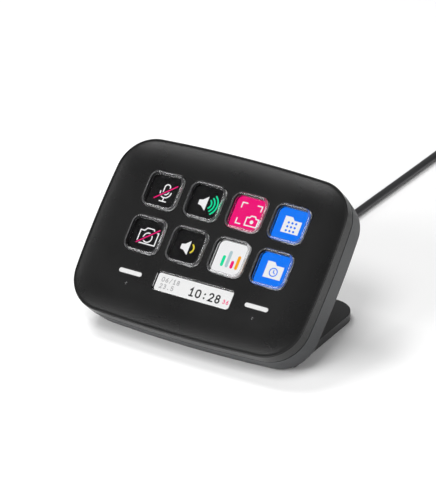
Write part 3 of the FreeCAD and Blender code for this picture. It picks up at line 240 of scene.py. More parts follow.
bm = bmesh.new()
profile = [(WALL, PLATE_BACK), (WALL, PARTING)]
profile += [(inset, 2 * PARTING - level) for inset, level in reversed(rounding(0, PARTING, MOULD_ROUND))]
profile += rounding(0, RIM_HIGH, RIM_ROUND)
profile.append((RIM_WIDE - MOULD_ROUND / 2, RIM_HIGH))
for step in range(DISH_STEPS + 1):
    inward = step / DISH_STEPS
    profile.append((RIM_WIDE + DISH_WIDE * inward, RIM_HIGH * (1 - inward) ** DISH_POWER))
plate_inner, face_edge = sweep(bm, bowed_outline, profile)
face_holes, back_holes = [], []
openings = [(x, y, KEY_WIDE + 2 * KEY_GAP, KEY_HIGH + 2 * KEY_GAP, KEY_CORNER + KEY_GAP)
            for x, y in KEY_PLACES]
openings.append((0, -CLOCK_DROP, CLOCK_WIDE, CLOCK_HIGH, CLOCK_CORNER))
for side in (-1, 1):
    high = BAR_HIGH + 2 * BAR_GAP
    openings.append((side * BAR_SPREAD, -BAR_DROP, BAR_LONG + 2 * BAR_GAP, high, high * BAR_ROUND_SHARE))
for x, y, wide, high, radius in openings:
    top, low = sweep(bm, lambda inset: rounded_outline(
        wide - 2 * inset, high - 2 * inset, radius - inset), soft_lip(0, PLATE_BACK), x, y)
    face_holes.append(top)
    back_holes.append(low)
for side in (-1, 1):
    before = set(bm.faces)
    top, low = sweep(bm, lambda inset: circle_outline(MARK_RADIUS - inset, MARK_SIDES),
                     MARK_SHAPE, side * BAR_SPREAD, -MARK_DROP)
    cover(bm, low)
    # The dent's faces take a glossier finish. Its lighter tone is a painted highlight.
    for face in set(bm.faces) - before:
        face.material_index = 1
    face_holes.append(top)
back_holes += [post(bm, place, BOSS_RADIUS, PLATE_BACK, PARTING) for place in SCREW_PLACES]
back_holes += [post(bm, place, EAR_BOSS_RADIUS, PLATE_BACK, EAR_BOSS_END) for place in EAR_PLACES]
cover(bm, face_edge, face_holes)
cover(bm, plate_inner, back_holes)
shell_black = finish("shell_black", (0.0040, 0.0040, 0.0041), (0.0055, 0.0055, 0.0056),
                     roughness=0.28, patch=0.02, grain=0.35, grain_size=0.00045, Specular_IOR_Level=0.25)
# The dents' finish is glossier than the face, which is real. Its lighter tone than the shell is a painted
# highlight.
dent_gloss_and_painted_highlight = finish("dent_gloss_and_painted_highlight", (0.012, 0.012, 0.013), (0.016, 0.016, 0.017),
                    roughness=0.14, patch=0.002, rough_spread=0.03)
front_shell = shaped("front_shell", bm, shell_black, dent_gloss_and_painted_highlight, place=HEAD)
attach(front_shell, "housing")
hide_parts("front_housing")

# Light bars: light pipes of milky plastic with round ends and a soft crown. They are pushed in from behind
# as far as their flange, and a small lamp under each lights it.
PIPE_FLANGE, PIPE_FLANGE_THICK, PIPE_CROWN, SEAT_GAP = 0.8, 0.7, 0.25, 0.02
PIPE_DARK, PIPE_LIGHT, CLOUDS_PER_METRE = (0.42, 0.42, 0.42), (0.50, 0.50, 0.50), 500


def pipe_outline(inset):
    """A light bar's outline, drawn in by an inset."""
    high = BAR_HIGH - 2 * inset
    return rounded_outline(BAR_LONG - 2 * inset, high, high * BAR_ROUND_SHARE)


pipe_milk = bpy.data.materials.new("pipe_milk")
pipe_milk.use_nodes = True
pipe_nodes, pipe_links = pipe_milk.node_tree.nodes, pipe_milk.node_tree.links
pipe_shader = pipe_nodes["Principled BSDF"]
pipe_shader.inputs["Roughness"].default_value = 0.35
pipe_shader.inputs["Emission Strength"].default_value = 0.1
pipe_place = pipe_nodes.new("ShaderNodeTexCoord")
pipe_cloud = pipe_nodes.new("ShaderNodeTexNoise")
pipe_cloud.inputs["Scale"].default_value = CLOUDS_PER_METRE
pipe_ramp = pipe_nodes.new("ShaderNodeMix")
pipe_ramp.data_type = "RGBA"
pipe_ramp.inputs[MIX_FIRST].default_value = (*PIPE_DARK, 1)
pipe_ramp.inputs[MIX_SECOND].default_value = (*PIPE_LIGHT, 1)
pipe_links.new(pipe_place.outputs["Object"], pipe_cloud.inputs["Vector"])
pipe_links.new(pipe_cloud.outputs["Fac"], pipe_ramp.inputs["Factor"])
pipe_links.new(pipe_ramp.outputs[MIX_RESULT], pipe_shader.inputs["Base Color"])
pipe_links.new(pipe_ramp.outputs[MIX_RESULT], pipe_shader.inputs["Emission Color"])
profile = [(-PIPE_FLANGE, PLATE_BACK - PIPE_FLANGE_THICK), (-PIPE_FLANGE, PLATE_BACK - SEAT_GAP),
           (0, PLATE_BACK - SEAT_GAP), *rounding(0, 0, PIPE_CROWN)]
for name, side in (("left", -1), ("right", 1)):
    bm = bmesh.new()
    low, top = sweep(bm, pipe_outline, profile, side * BAR_SPREAD, -BAR_DROP)
    cover(bm, low)
    cover(bm, top)
    pipe = shaped(f"light_pipe_{name}", bm, pipe_milk, place=HEAD)
    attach(pipe, "housing")
    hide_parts(f"light_bar_{name}")

# Keys: clear caps moulded from acrylic, with wide soft bevels and frosted sides. The flange under the face
# plate keeps each cap in, and a dark silicone ring under the flange springs it back.
KEY_PROUD, BEVEL_ACROSS, BEVEL_DOWN, BEVEL_STEPS = 0.9, 0.95, 0.6, 12
LEAST_KEY_CORNER, KEY_CORNER_STEPS = 0.6, 20
FLANGE_TOP, FLANGE_BACK, KEY_FOOT_BACK = -1.7, -2.4, -3.0
FLANGE_OUT, KEY_FOOT_IN = 0.9, 0.8
HAIR = 0.001
ACRYLIC_IOR, HAZE_PER_METRE, HAZE_SPREAD = 1.49, 300, 0.015


def clear_plastic(name, tint, mirror, clear=1.0, rough=0.0):
    """Clear plastic that light passes through, with a faint haze in soft patches."""
    made = bpy.data.materials.new(name)
    made.use_nodes = True
    nodes, links = made.node_tree.nodes, made.node_tree.links
    shader = nodes["Principled BSDF"]
    shader.inputs["Base Color"].default_value = (*tint, 1)
    shader.inputs["Transmission Weight"].default_value = clear
    shader.inputs["IOR"].default_value = ACRYLIC_IOR
    shader.inputs["Specular Tint"].default_value = (mirror, mirror, mirror, 1)
    place = nodes.new("ShaderNodeTexCoord")
    haze = nodes.new("ShaderNodeTexNoise")
    haze.inputs["Scale"].default_value = HAZE_PER_METRE
    gloss = nodes.new("ShaderNodeMapRange")
    gloss.inputs["To Min"].default_value = rough
    gloss.inputs["To Max"].default_value = rough + HAZE_SPREAD
    links.new(place.outputs["Object"], haze.inputs["Vector"])
    links.new(haze.outputs["Fac"], gloss.inputs["Value"])
    links.new(gloss.outputs["Result"], shader.inputs["Roughness"])
    return made


def dress(material, *names):
    """A material for nodes of the frame that are kept as they are."""
    for name in names:
        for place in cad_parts[name].material_slots:
            place.material = material


def key_outline(inset):
    """A cap's outline, drawn in by an inset."""
    corner = max(KEY_CORNER - inset, LEAST_KEY_CORNER)
    return rounded_outline(KEY_WIDE - 2 * inset, KEY_HIGH - 2 * inset, corner, KEY_CORNER_STEPS)


key_clear = clear_plastic("key_clear", (0.97, 0.97, 0.98), mirror=0.2)
# The bevels' grey tint and their small diffuse share are a painted reflection: clear acrylic is not grey
# there.
key_bevel_painted_reflection = clear_plastic("key_bevel_painted_reflection", (0.36, 0.36, 0.37), mirror=0.7, clear=0.88)
key_side = clear_plastic("key_side", (0.5, 0.5, 0.5), mirror=0.2, clear=0.9, rough=0.4)
ring_silicone = finish("ring_silicone", (0.010, 0.010, 0.011), (0.016, 0.016, 0.017),
                       roughness=0.6, patch=0.004)
profile = [(KEY_FOOT_IN, KEY_FOOT_BACK), (KEY_FOOT_IN, FLANGE_BACK), (-FLANGE_OUT, FLANGE_BACK),
           (-FLANGE_OUT, FLANGE_TOP), (0, FLANGE_TOP),
           *rounding(0, KEY_PROUD, BEVEL_ACROSS, BEVEL_DOWN, BEVEL_STEPS)]
for number, (x, y) in enumerate(KEY_PLACES, start=1):
    bm = bmesh.new()
    low, top = sweep(bm, key_outline, profile, x, y)
    cover(bm, low)
    cover(bm, top)
    # The bevel faces take the grey-tinted material, which is a painted reflection. The sides take the frosted
    # one.
    for face in bm.faces:
        level = face.calc_center_median().z
        if KEY_PROUD - BEVEL_DOWN < level < KEY_PROUD - HAIR:
            face.material_index = 1
        elif FLANGE_TOP < level < KEY_PROUD - BEVEL_DOWN:
            face.material_index = 2
    cap = shaped(f"clear_key_{number}", bm, key_clear, key_bevel_painted_reflection, key_side, place=HEAD)
    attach(cap, f"key_{number}")
    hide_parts(f"key_cap_{number}")
    dress(ring_silicone, f"key_ring_{number}")

# Screen: one glass panel under all eight keys, black between its pictures. Each picture is a lit field with
# a plain symbol. A dark plastic film with a window for each key lies on it and carries the switches.
SCREEN_TOP, FIELD_THICK = -4.1, 0.03
INLAY_THICK = FIELD_THICK / 3
FIELD_WIDE, FIELD_HIGH, FIELD_CORNER = 14.4, 14.0, 2.4
DOTS_PER_METRE, DOT_EDGE = 9000, 0.9
LEAST_MITRE, CAP_STEPS = 0.3, 6


def slab(bm, loops, low, high, tone=0):
    """A flat inlay: an outline, or an outline with a hole, drawn up between two levels."""
    before = set(bm.faces)
    rings = [(ring(bm, loop, low), ring(bm, loop, high)) for loop in loops]
    for bottom, top in rings:
        wall(bm, bottom, top)
    for level in (0, 1):
        cover(bm, rings[0][level], [pair[level] for pair in rings[1:]])
    for face in set(bm.faces) - before:
        face.material_index = tone


def moved(outline, x, y):
    """An outline in another place."""
    return [(across + x, up + y) for across, up in outline]


def lit(name, colour):
    """A lit patch of the screen: its colour in a fine grid of picture dots."""
    made = bpy.data.materials.new(name)
    made.use_nodes = True
    nodes, links = made.node_tree.nodes, made.node_tree.links
    shader = nodes["Principled BSDF"]
    shader.inputs["Base Color"].default_value = (0.004, 0.004, 0.004, 1)
    shader.inputs["Roughness"].default_value = 0.3
    shader.inputs["Specular IOR Level"].default_value = 0.1
    shader.inputs["Emission Strength"].default_value = 1.0
    place = nodes.new("ShaderNodeTexCoord")
    dots = nodes.new("ShaderNodeTexVoronoi")
    dots.inputs["Scale"].default_value = DOTS_PER_METRE
    dots.inputs["Randomness"].default_value = 0.0
    tones = nodes.new("ShaderNodeMix")
    tones.data_type = "RGBA"
    tones.inputs[MIX_FIRST].default_value = (*colour, 1)
    tones.inputs[MIX_SECOND].default_value = (*(DOT_EDGE * part for part in colour), 1)
    links.new(place.outputs["Object"], dots.inputs["Vector"])
    links.new(dots.outputs["Distance"], tones.inputs["Factor"])
    links.new(tones.outputs[MIX_RESULT], shader.inputs["Emission Color"])
    return made


BLACK, WHITE, PINK, BLUE, GREEN, YELLOW, AMBER, PALE, GREY = range(9)
screen_tones = [
    lit("lit_black", (0.0035, 0.0035, 0.0038)),
    lit("lit_white", (0.93, 0.93, 0.93)),
    lit("lit_pink", (0.93, 0.0025, 0.19)),
    lit("lit_blue", (0.0025, 0.2, 1.0)),
    lit("lit_green", (0.0, 0.78, 0.36)),
    lit("lit_yellow", (0.84, 0.70, 0.05)),
    lit("lit_amber", (1.0, 0.40, 0.0)),
    lit("lit_pale", (0.45, 0.62, 0.66)),
    lit("lit_grey", (0.42, 0.42, 0.43)),
]


def stroke(points, width, closed=False):
    """The outline of a line of even width with round ends. A closed line has an outer and an inner one."""
    path = [Vector(point) for point in points]
    count = len(path)
    sides = ([], [])
    for number, point in enumerate(path):
        before = path[number - 1] if closed or number else None
        after = path[(number + 1) % count] if closed or number < count - 1 else None
        legs = ((before, point), (point, after))
        ways = [(two - one).normalized() for one, two in legs if one is not None and two is not None]
        normals = [Vector((-way.y, way.x)) for way in ways]
        middle = sum(normals, Vector((0, 0))).normalized()
        reach = width / 2 / max(middle.dot(normals[0]), LEAST_MITRE)
        sides[0].append(point + middle * reach)
        sides[1].append(point - middle * reach)
    if closed:
        return sides
    start, end = path[0] - path[1], path[-1] - path[-2]
    caps = []
    for middle, way in ((path[-1], end), (path[0], start)):
        turn = math.atan2(way.y, way.x)
        half_round = arc(middle, width / 2, turn + math.pi / 2, turn - math.pi / 2, CAP_STEPS)
        caps.append([Vector(point) for point in half_round][1:])
    return (sides[0] + caps[0] + sides[1][::-1] + caps[1],)


def bent(x, y, radius, start, end, steps=10):
    """An arc as a line of points, by its directions in degrees."""
    turns = [math.radians(start + (end - start) * step / steps) for step in range(steps + 1)]
    return [(x + radius * math.cos(turn), y + radius * math.sin(turn)) for turn in turns]


def disc(x, y, radius, steps=16):
    """A circle as a closed line."""
    return bent(x, y, radius, 0, 360 - 360 / steps, steps - 1)


LINE, WAVE_LINE = 0.5, 0.65
SLASH = [(BLACK, stroke([(-4.2, -3.2), (4.2, 3.7)], 1.3)), (PINK, stroke([(-4.2, -3.2), (4.2, 3.7)], LINE))]
HORN = (WHITE, [[(-3.9, -1.0), (-2.3, -1.3), (-0.1, -3.1), (-0.1, 3.1), (-2.3, 1.3), (-3.9, 1.0)]])
CAMERA_BODY = [(-4.2, -3.1), (4.2, -3.1), (4.2, 2.3), (2.4, 2.3), (1.5, 3.5), (-1.5, 3.5), (-2.4, 2.3),
               (-4.2, 2.3)]
SMALL_CAMERA = [(-0.4, -4.5), (5.0, -4.5), (5.0, -1.1), (3.8, -1.1), (3.2, -0.2), (1.4, -0.2), (0.8, -1.1),
                (-0.4, -1.1)]
FOLDER = [(-3.9, -3.2), (3.9, -3.2), (3.9, 2.4), (0.4, 2.4), (-0.7, 3.7), (-3.9, 3.7)]
PICTURES = [
    (BLACK, [
        (WHITE, stroke([*bent(0, 2.3, 1.25, 0, 180), *bent(0, 0.4, 1.25, 180, 360)], LINE, closed=True)),
        (WHITE, stroke(bent(0, 0.3, 2.5, 180, 360), LINE)),
        (WHITE, stroke([(0, -2.2), (0, -3.7)], LINE)),
        (WHITE, stroke([(-1.5, -3.8), (1.5, -3.8)], LINE)),
        *SLASH,
    ]),
    (BLACK, [
        HORN,
        *((GREEN, stroke(bent(-0.1, 0, radius, -52, 52), WAVE_LINE)) for radius in (2.1, 3.5, 4.9)),
    ]),
    (PINK, [
        (WHITE, stroke([(-4.5, 2.4), (-4.5, 4.5), (-2.4, 4.5)], LINE)),
        (WHITE, stroke([(2.4, 4.5), (4.5, 4.5), (4.5, 2.4)], LINE)),
        (WHITE, stroke([(-4.5, -2.4), (-4.5, -4.5), (-2.4, -4.5)], LINE)),
        (WHITE, stroke(SMALL_CAMERA, LINE, closed=True)),
        (WHITE, [disc(2.3, -2.7, 0.8)]),
    ]),
    (BLUE, [
        (WHITE, [FOLDER]),
        *((BLUE, [disc(1.7 * column, 1.7 * row - 0.5, 0.5, 12)])
          for column in (-1, 0, 1) for row in (-1, 0, 1)),
    ]),
    (BLACK, [
        (WHITE, stroke(CAMERA_BODY, LINE, closed=True)),
        (WHITE, stroke(disc(0, -0.4, 2.0, 24), LINE, closed=True)),
        *SLASH,
    ]),
    (BLACK, [HORN, (YELLOW, stroke(bent(-0.1, 0, 2.1, -52, 52), WAVE_LINE))]),
    (WHITE, [
        (GREEN, stroke([(-3.3, -3.0), (-3.3, 0.4)], 1.35)),
        (PALE, stroke([(-1.1, -3.0), (-1.1, 2.8)], 1.35)),
        (PINK, stroke([(1.1, -3.0), (1.1, -1.0)], 1.35)),
        (AMBER, stroke([(3.3, -3.0), (3.3, 1.6)], 1.35)),
    ]),
    (BLUE, [
        (WHITE, [FOLDER]),
        (BLUE, stroke(disc(0, -0.5, 1.7, 24), 0.42, closed=True)),
        (BLUE, stroke([(0, 0.4), (0, -0.5), (0.7, -1.0)], 0.4)),
    ]),
]


def inlays(bm, patches, level, thick):
    """Flat patches of the lit tones, each a little above the last. Returns the level of their top."""
    for tone, loops, x, y in patches:
        slab(bm, [moved(loop, x, y) for loop in loops], level, level + thick, tone)
        level += thick
    return level


for number, ((x, y), (ground, symbols)) in enumerate(zip(KEY_PLACES, PICTURES), start=1):
    bm = bmesh.new()
    slab(bm, [moved(rounded_outline(FIELD_WIDE, FIELD_HIGH, FIELD_CORNER), x, y)],
         SCREEN_TOP, SCREEN_TOP + FIELD_THICK, ground)
    inlays(bm, [(tone, loops, x, y) for tone, loops in symbols], SCREEN_TOP + FIELD_THICK, INLAY_THICK)
    picture = shaped(f"picture_{number}", bm, *screen_tones, place=HEAD)
    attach(picture, "housing")
panel_glass = finish("panel_glass", (0.004, 0.004, 0.005), (0.006, 0.006, 0.007),
                     roughness=0.1, patch=0.02, rough_spread=0.02, Specular_IOR_Level=0.2)
film_black = finish("film_black", (0.005, 0.005, 0.005), (0.008, 0.008, 0.008),
                    roughness=0.35, patch=0.01, Specular_IOR_Level=0.2)
dress(panel_glass, "key_screen")
dress(film_black, "contact_film")

# Clock: a small white display with dark figures, in a pocket of the tray. Its clear window is moulded from
# acrylic and sits in the face from behind, held by a flange.
DISPLAY_TOP, LENS_TOP, LENS_GAP, LENS_FLANGE, LENS_BEVEL = -2.1, -0.25, 0.15, 1.25, 0.15
CLOCK_LEAST_CORNER, LENS_ROOM = 0.3, 0.01
FACE_INSET, FACE_THICK, INK_THICK = 0.5, 0.02, 0.001
FIGURE_LINE = 0.2
FIGURES = {
    "0": [stroke([*bent(0.3, 0.7, 0.3, 0, 180), *bent(0.3, 0.3, 0.3, 180, 360)], FIGURE_LINE, closed=True)],
    "1": [stroke([(0.06, 0.76), (0.3, 1.0), (0.3, 0.0)], FIGURE_LINE),
          stroke([(0.06, 0.0), (0.56, 0.0)], FIGURE_LINE)],
    "2": [stroke([*bent(0.3, 0.72, 0.28, 165, -35, 12), (0.02, 0.0), (0.6, 0.0)], FIGURE_LINE)],
    "3": [stroke([*bent(0.28, 0.75, 0.25, 150, -80), *bent(0.28, 0.27, 0.27, 80, -150, 12)], FIGURE_LINE)],
    "5": [stroke([(0.54, 1.0), (0.08, 1.0), (0.05, 0.54), *bent(0.28, 0.3, 0.3, 110, -150, 12)],
                 FIGURE_LINE)],
    "6": [stroke(disc(0.3, 0.28, 0.28, 20), FIGURE_LINE, closed=True),
          stroke([(0.46, 1.0), (0.16, 0.62), (0.02, 0.3)], FIGURE_LINE)],
    "8": [stroke(disc(0.3, 0.76, 0.24, 20), FIGURE_LINE, closed=True),
          stroke(disc(0.3, 0.27, 0.27, 20), FIGURE_LINE, closed=True)],
    ":": [[disc(0.3, 0.68, 0.13, 12)], [disc(0.3, 0.14, 0.13, 12)]],
    "/": [stroke([(0.04, -0.08), (0.56, 1.08)], 0.8 * FIGURE_LINE)],
    ".": [[disc(0.3, 0.05, 0.13, 12)]],
}
# Each row has its figures, tone, left end, foot line, height and step
CLOCK_ROWS = [("10:28", BLACK, -1.6, -21.0, 3.1, 3.0), ("06/18", GREY, -15.3, -18.4, 1.7, 1.75),
              ("23.5", GREY, -15.3, -21.2, 1.7, 1.75), ("36", PINK, 13.9, -20.5, 1.5, 1.6)]


def figures(text, tone, left, foot, high, step):
    """The patches of a row of figures."""
    patches = []
    for number, sign in enumerate(text):
        for loops in FIGURES[sign]:
            grown = [[(across * high, up * high) for across, up in loop] for loop in loops]
            patches.append((tone, grown, left + number * step, foot))
    return patches


def clock_outline(inset):
    """The window's outline, drawn in by an inset."""
    corner = max(CLOCK_CORNER - inset, CLOCK_LEAST_CORNER)
    return rounded_outline(CLOCK_WIDE - 2 * inset, CLOCK_HIGH - 2 * inset, corner)


bm = bmesh.new()
level = DISPLAY_TOP + FACE_THICK
slab(bm, [moved(clock_outline(FACE_INSET), 0, -CLOCK_DROP)], DISPLAY_TOP, level, WHITE)
for row in CLOCK_ROWS:
    level = inlays(bm, figures(*row), level, INK_THICK)
clock_face = shaped("clock_face", bm, *screen_tones, place=HEAD)
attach(clock_face, "housing")
dress(panel_glass, "info_display")

bm = bmesh.new()
profile = [(-LENS_FLANGE, level + LENS_ROOM), (-LENS_FLANGE, PLATE_BACK - SEAT_GAP),
           (LENS_GAP, PLATE_BACK - SEAT_GAP), *rounding(LENS_GAP, LENS_TOP, LENS_BEVEL)]
low, top = sweep(bm, clock_outline, profile, 0, -CLOCK_DROP)
cover(bm, low)
cover(bm, top)
window_clear = clear_plastic("window_clear", (0.98, 0.98, 0.98), mirror=0.2)
clock_window = shaped("clock_window", bm, window_clear, place=HEAD)
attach(clock_window, "housing")
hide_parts("info_lens")

# Inside: the moulded tray that carries the screens, the main board with its chips and socket, and at each
# side a small board with a lamp and a foam sensor pad, all held by steel screws. These pieces keep the
# shapes that they have in the frame, and get their finishes here.
tray_black = finish("tray_black", (0.030, 0.030, 0.031), (0.042, 0.042, 0.043),
                    roughness=0.5, patch=0.015, grain=0.3, grain_size=0.0005)
board_green = finish("board_green", (0.008, 0.075, 0.030), (0.020, 0.140, 0.060),
                     roughness=0.35, patch=0.0025, grain=0.2, grain_size=0.0006)
chip_black = finish("chip_black", (0.014, 0.014, 0.015), (0.022, 0.022, 0.023),
                    roughness=0.45, patch=0.002, grain=0.2, grain_size=0.0003)
socket_cream = finish("socket_cream", (0.70, 0.66, 0.56), (0.78, 0.74, 0.64),
                      roughness=0.4, patch=0.002)
lamp_yellow = finish("lamp_yellow", (0.80, 0.70, 0.35), (0.90, 0.82, 0.50),
                     roughness=0.3, patch=0.001)
pad_foam = finish("pad_foam", (0.030, 0.030, 0.032), (0.055, 0.055, 0.058),
                  roughness=0.85, patch=0.0008, grain=0.8, grain_size=0.0004)
screw_zinc = finish("screw_zinc", (0.40, 0.40, 0.42), (0.50, 0.50, 0.51),
                    roughness=0.34, patch=0.002, grain=0.15, grain_size=0.0002, Metallic=1.0)
dress(tray_black, "screen_tray")
dress(board_green, "main_board", "side_board_left", "side_board_right")
dress(chip_black, "controller_chip", "memory_chip")
dress(socket_cream, "cable_socket")
dress(lamp_yellow, "bar_leds")
dress(pad_foam, "touch_pad_left", "touch_pad_right")
dress(screw_zinc, "tray_screws", "board_screws", "foot_screws")

# Cable: a smooth black rubber lead of 3.5 mm, fixed to the board inside and held by the gland.
# Some 19 cm lie free behind the keypad. The rest is wound into a flat two-layer coil, and its end
# lies beside the coil.
CORD_THICK, CORD_LEVEL, PLUG_LEVEL = 3.5, 1.85, 3.1
ROUTE = [(0.0, 25.455, 28.127), (0.0, 51.732, 1.85), (0.1, 104.0, 1.85), (2.3, 156.0, 1.85),
         (4.0, 207.0, 1.85)]
COIL_RADIUS, COIL_PITCH = 49.0, 4.0
LAYER_QUARTERS, LAYERS, STEPS_A_QUARTER = 9, 2, 4
TAIL_RUN, TAIL_DROP_RUN, TAIL_TURN = 16.0, 24.0, math.radians(4.0)


def coil_points(start, heading):
    """The turns, clockwise from above: inward, up one layer, and out again. Also where they end."""
    aside = Vector((heading.y, -heading.x, 0))
    first = start + heading * CORD_THICK
    middle = first + aside * COIL_RADIUS
    turn = math.atan2(heading.y, heading.x)
    half_step = math.pi / 4 / STEPS_A_QUARTER
    points = []
    for step in range(LAYERS * LAYER_QUARTERS * STEPS_A_QUARTER):
        quarter = (step + 0.5) / STEPS_A_QUARTER
        inward = LAYER_QUARTERS - abs(LAYER_QUARTERS - quarter)
        radius = (COIL_RADIUS - COIL_PITCH / 4 * inward) / math.cos(half_step)
        climb = min(max((quarter - LAYER_QUARTERS + 1) / 2, 0), 1)
        level = CORD_LEVEL + COIL_PITCH * climb * climb * (3 - 2 * climb)
        angle = turn + math.pi / 2 * (1 - quarter)
        across, along = radius * math.cos(angle), radius * math.sin(angle)
        points.append(Vector((middle.x + across, middle.y + along, level)))
    return points, middle - (first - middle) + Vector((0, 0, COIL_PITCH))


route = [Vector(point) for point in ROUTE]
heading = (route[-1] - route[-2]).normalized()
turns, coil_end = coil_points(route[-1], heading)
back_way = Vector((-heading.x, -heading.y, 0))
tail_start = coil_end + back_way * (CORD_THICK + TAIL_RUN)
outward_way = Matrix.Rotation(TAIL_TURN, 3, "Z") @ back_way
tail_low = tail_start + outward_way * TAIL_DROP_RUN
tail_low.z = PLUG_LEVEL
cord_end = tail_low + back_way * TAIL_RUN
cord_line = [*route, *turns, tail_start, tail_low, cord_end]

cable_curve = bpy.data.curves.new("cable", "CURVE")
cable_curve.dimensions = "3D"
cable_curve.bevel_depth = CORD_THICK / 2 * MM
cable_curve.bevel_resolution = 5
cable_curve.resolution_u = 12
cable_curve.use_fill_caps = True
spline = cable_curve.splines.new("NURBS")
spline.points.add(len(cord_line) - 1)
for spot, point in zip(spline.points, cord_line):
    spot.co = (*(point * MM), 1)
spline.order_u = 3
spline.use_endpoint_u = True
cable = bpy.data.objects.new("cable", cable_curve)
bpy.context.scene.collection.objects.link(cable)
cable_rubber = finish("cable_rubber", (0.026, 0.026, 0.028), (0.032, 0.032, 0.034),
                      roughness=0.36, patch=0.03, grain=0.15, grain_size=0.0003)
cable_curve.materials.append(cable_rubber)
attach(cable, "housing")
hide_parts("cable_run", "cable_coil", "cable_tail")
dress(cable_rubber, "inner_lead")

# Plug: a flat rubber grip moulded round the cable's end, its ribbed sleeve first, and a shell drawn from
# thin sheet steel. The shell is open at its end, round a black tongue with contact strips.
GRIP_LONG, GRIP_WIDE, GRIP_THICK, GRIP_CORNER, GRIP_NARROWING = 20.0, 10.6, 6.0, 2.6, 5.2
SLEEVE = [(0.9, 0), (0.84, 0.8), (1.04, 0.95), (1.04, 1.5), (0.74, 1.65), (0.7, 2.4), (0.96, 2.55),
          (0.96, 3.1), (0.6, 3.25), (0.5, 4.0), (0.3, 4.7), (0.12, 5.4), (0, 6.2)]
GRIP_END = [(0, 19.3), (0.05, 19.65), (0.14, 19.88), (0.26, GRIP_LONG)]
SHELL_LONG, SHELL_WIDE, SHELL_THICK, SHEET_THICK, SHEET_ROUND = 6.6, 8.3, 2.4, 0.3, 0.1
SHELL_END, OVAL_SHARE = GRIP_LONG + SHELL_LONG, 0.48
TONGUE_WIDE, TONGUE_THICK, TONGUE_CORNER, TONGUE_ROOT, TONGUE_END = 6.2, 0.7, 0.1, 0.5, 5.6
STRIPS, STRIP_WIDE, STRIP_THICK, STRIP_CORNER, STRIP_PITCH, STRIP_INSET = 8, 0.35, 0.06, 0.02, 0.66, 0.5
side_way = Vector((0, 0, 1)).cross(back_way).normalized()
PLUG = Matrix.Translation(cord_end * MM) @ Matrix(
    (side_way, back_way.cross(side_way), back_way)).transposed().to_4x4() @ Matrix.Scale(MM, 4)


def grip_outline(inset):
    """The grip's section, which narrows faster than it thins."""
    thick = GRIP_THICK - 2 * inset
    return rounded_outline(GRIP_WIDE - GRIP_NARROWING * inset, thick, min(GRIP_CORNER, thick * OVAL_SHARE))


bm = bmesh.new()
low, high = sweep(bm, grip_outline, SLEEVE + GRIP_END)
cover(bm, low)
cover(bm, high)
grip_black = finish("grip_black", (0.018, 0.018, 0.020), (0.024, 0.024, 0.026),
                    roughness=0.5, patch=0.01, grain=0.4, grain_size=0.0003)
lead_grip = shaped("lead_grip", bm, grip_black, place=PLUG)
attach(lead_grip, "housing")
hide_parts("plug_grip")


def shell_outline(inset):
    """The steel shell's section."""
    thick = SHELL_THICK - 2 * inset
    return rounded_outline(SHELL_WIDE - 2 * inset, thick, thick * OVAL_SHARE)


bm = bmesh.new()
low, bottom = sweep(bm, shell_outline, [
    (0, GRIP_LONG), (0, SHELL_END - 2 * SHEET_ROUND), (SHEET_ROUND, SHELL_END),
    (SHEET_THICK - SHEET_ROUND, SHELL_END), (SHEET_THICK, SHELL_END - 1.5 * SHEET_ROUND),
    (SHEET_THICK, GRIP_LONG + TONGUE_ROOT)])
cover(bm, low)
cover(bm, bottom)
tongue = rounded_outline(TONGUE_WIDE, TONGUE_THICK, TONGUE_CORNER, 2)
slab(bm, [tongue], GRIP_LONG + TONGUE_ROOT, GRIP_LONG + TONGUE_END, tone=1)
strip = rounded_outline(STRIP_WIDE, STRIP_THICK, STRIP_CORNER, 1)
strip_root, strip_end = GRIP_LONG + TONGUE_ROOT + STRIP_INSET, GRIP_LONG + TONGUE_END - STRIP_INSET
for number in range(STRIPS):
    for side in (-1, 1):
        placed = moved(strip, (number - (STRIPS - 1) / 2) * STRIP_PITCH, side * TONGUE_THICK / 2)
        slab(bm, [placed], strip_root, strip_end, tone=2)
shell_steel = finish("shell_steel", (0.60, 0.60, 0.61), (0.68, 0.68, 0.69),
                     roughness=0.26, patch=0.004, grain=0.1, grain_size=0.0002, Metallic=1.0)
tongue_black = finish("tongue_black", (0.010, 0.010, 0.010), (0.015, 0.015, 0.015),
                      roughness=0.5, patch=0.002)
contact_gold = finish("contact_gold", (0.80, 0.55, 0.22), (0.88, 0.63, 0.28),
                      roughness=0.25, patch=0.001, Metallic=1.0)
lead_shell = shaped("lead_shell", bm, shell_steel, tongue_black, contact_gold, place=PLUG)
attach(lead_shell, "housing")
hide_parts("plug_shell")

# Gland: a rubber cable guard clamped in the back wall between two flanges. Its tapered boot is cut into
# rings, so that the cable can bend only softly where it leaves.
BACK, BACK_INSIDE = -16.8, -15.0
GLAND_RISE, GLAND_NECK, GLAND_FLANGE, FLANGE_THICK = 16.0, 3.4, 4.6, 1.2
GLAND_MOUTH, FLANGE_BEVEL, FLANGE_ROUND = 2.8, 0.2, ((0, 0.35), (0.1, 0.12), (0.35, 0))
BOOT_LONG, BOOT_ROOT, BOOT_TIP, BOOT_RINGS = 14.0, 3.6, 2.4, 6
# The points of a ring: how far in, and at which share of its length
RING_GROOVE = ((0.55, 0), (0.55, 0.32), (0.12, 0.36))
RING_BODY = ((0, 0.45), (0.02, 0.9), (0.14, 1))

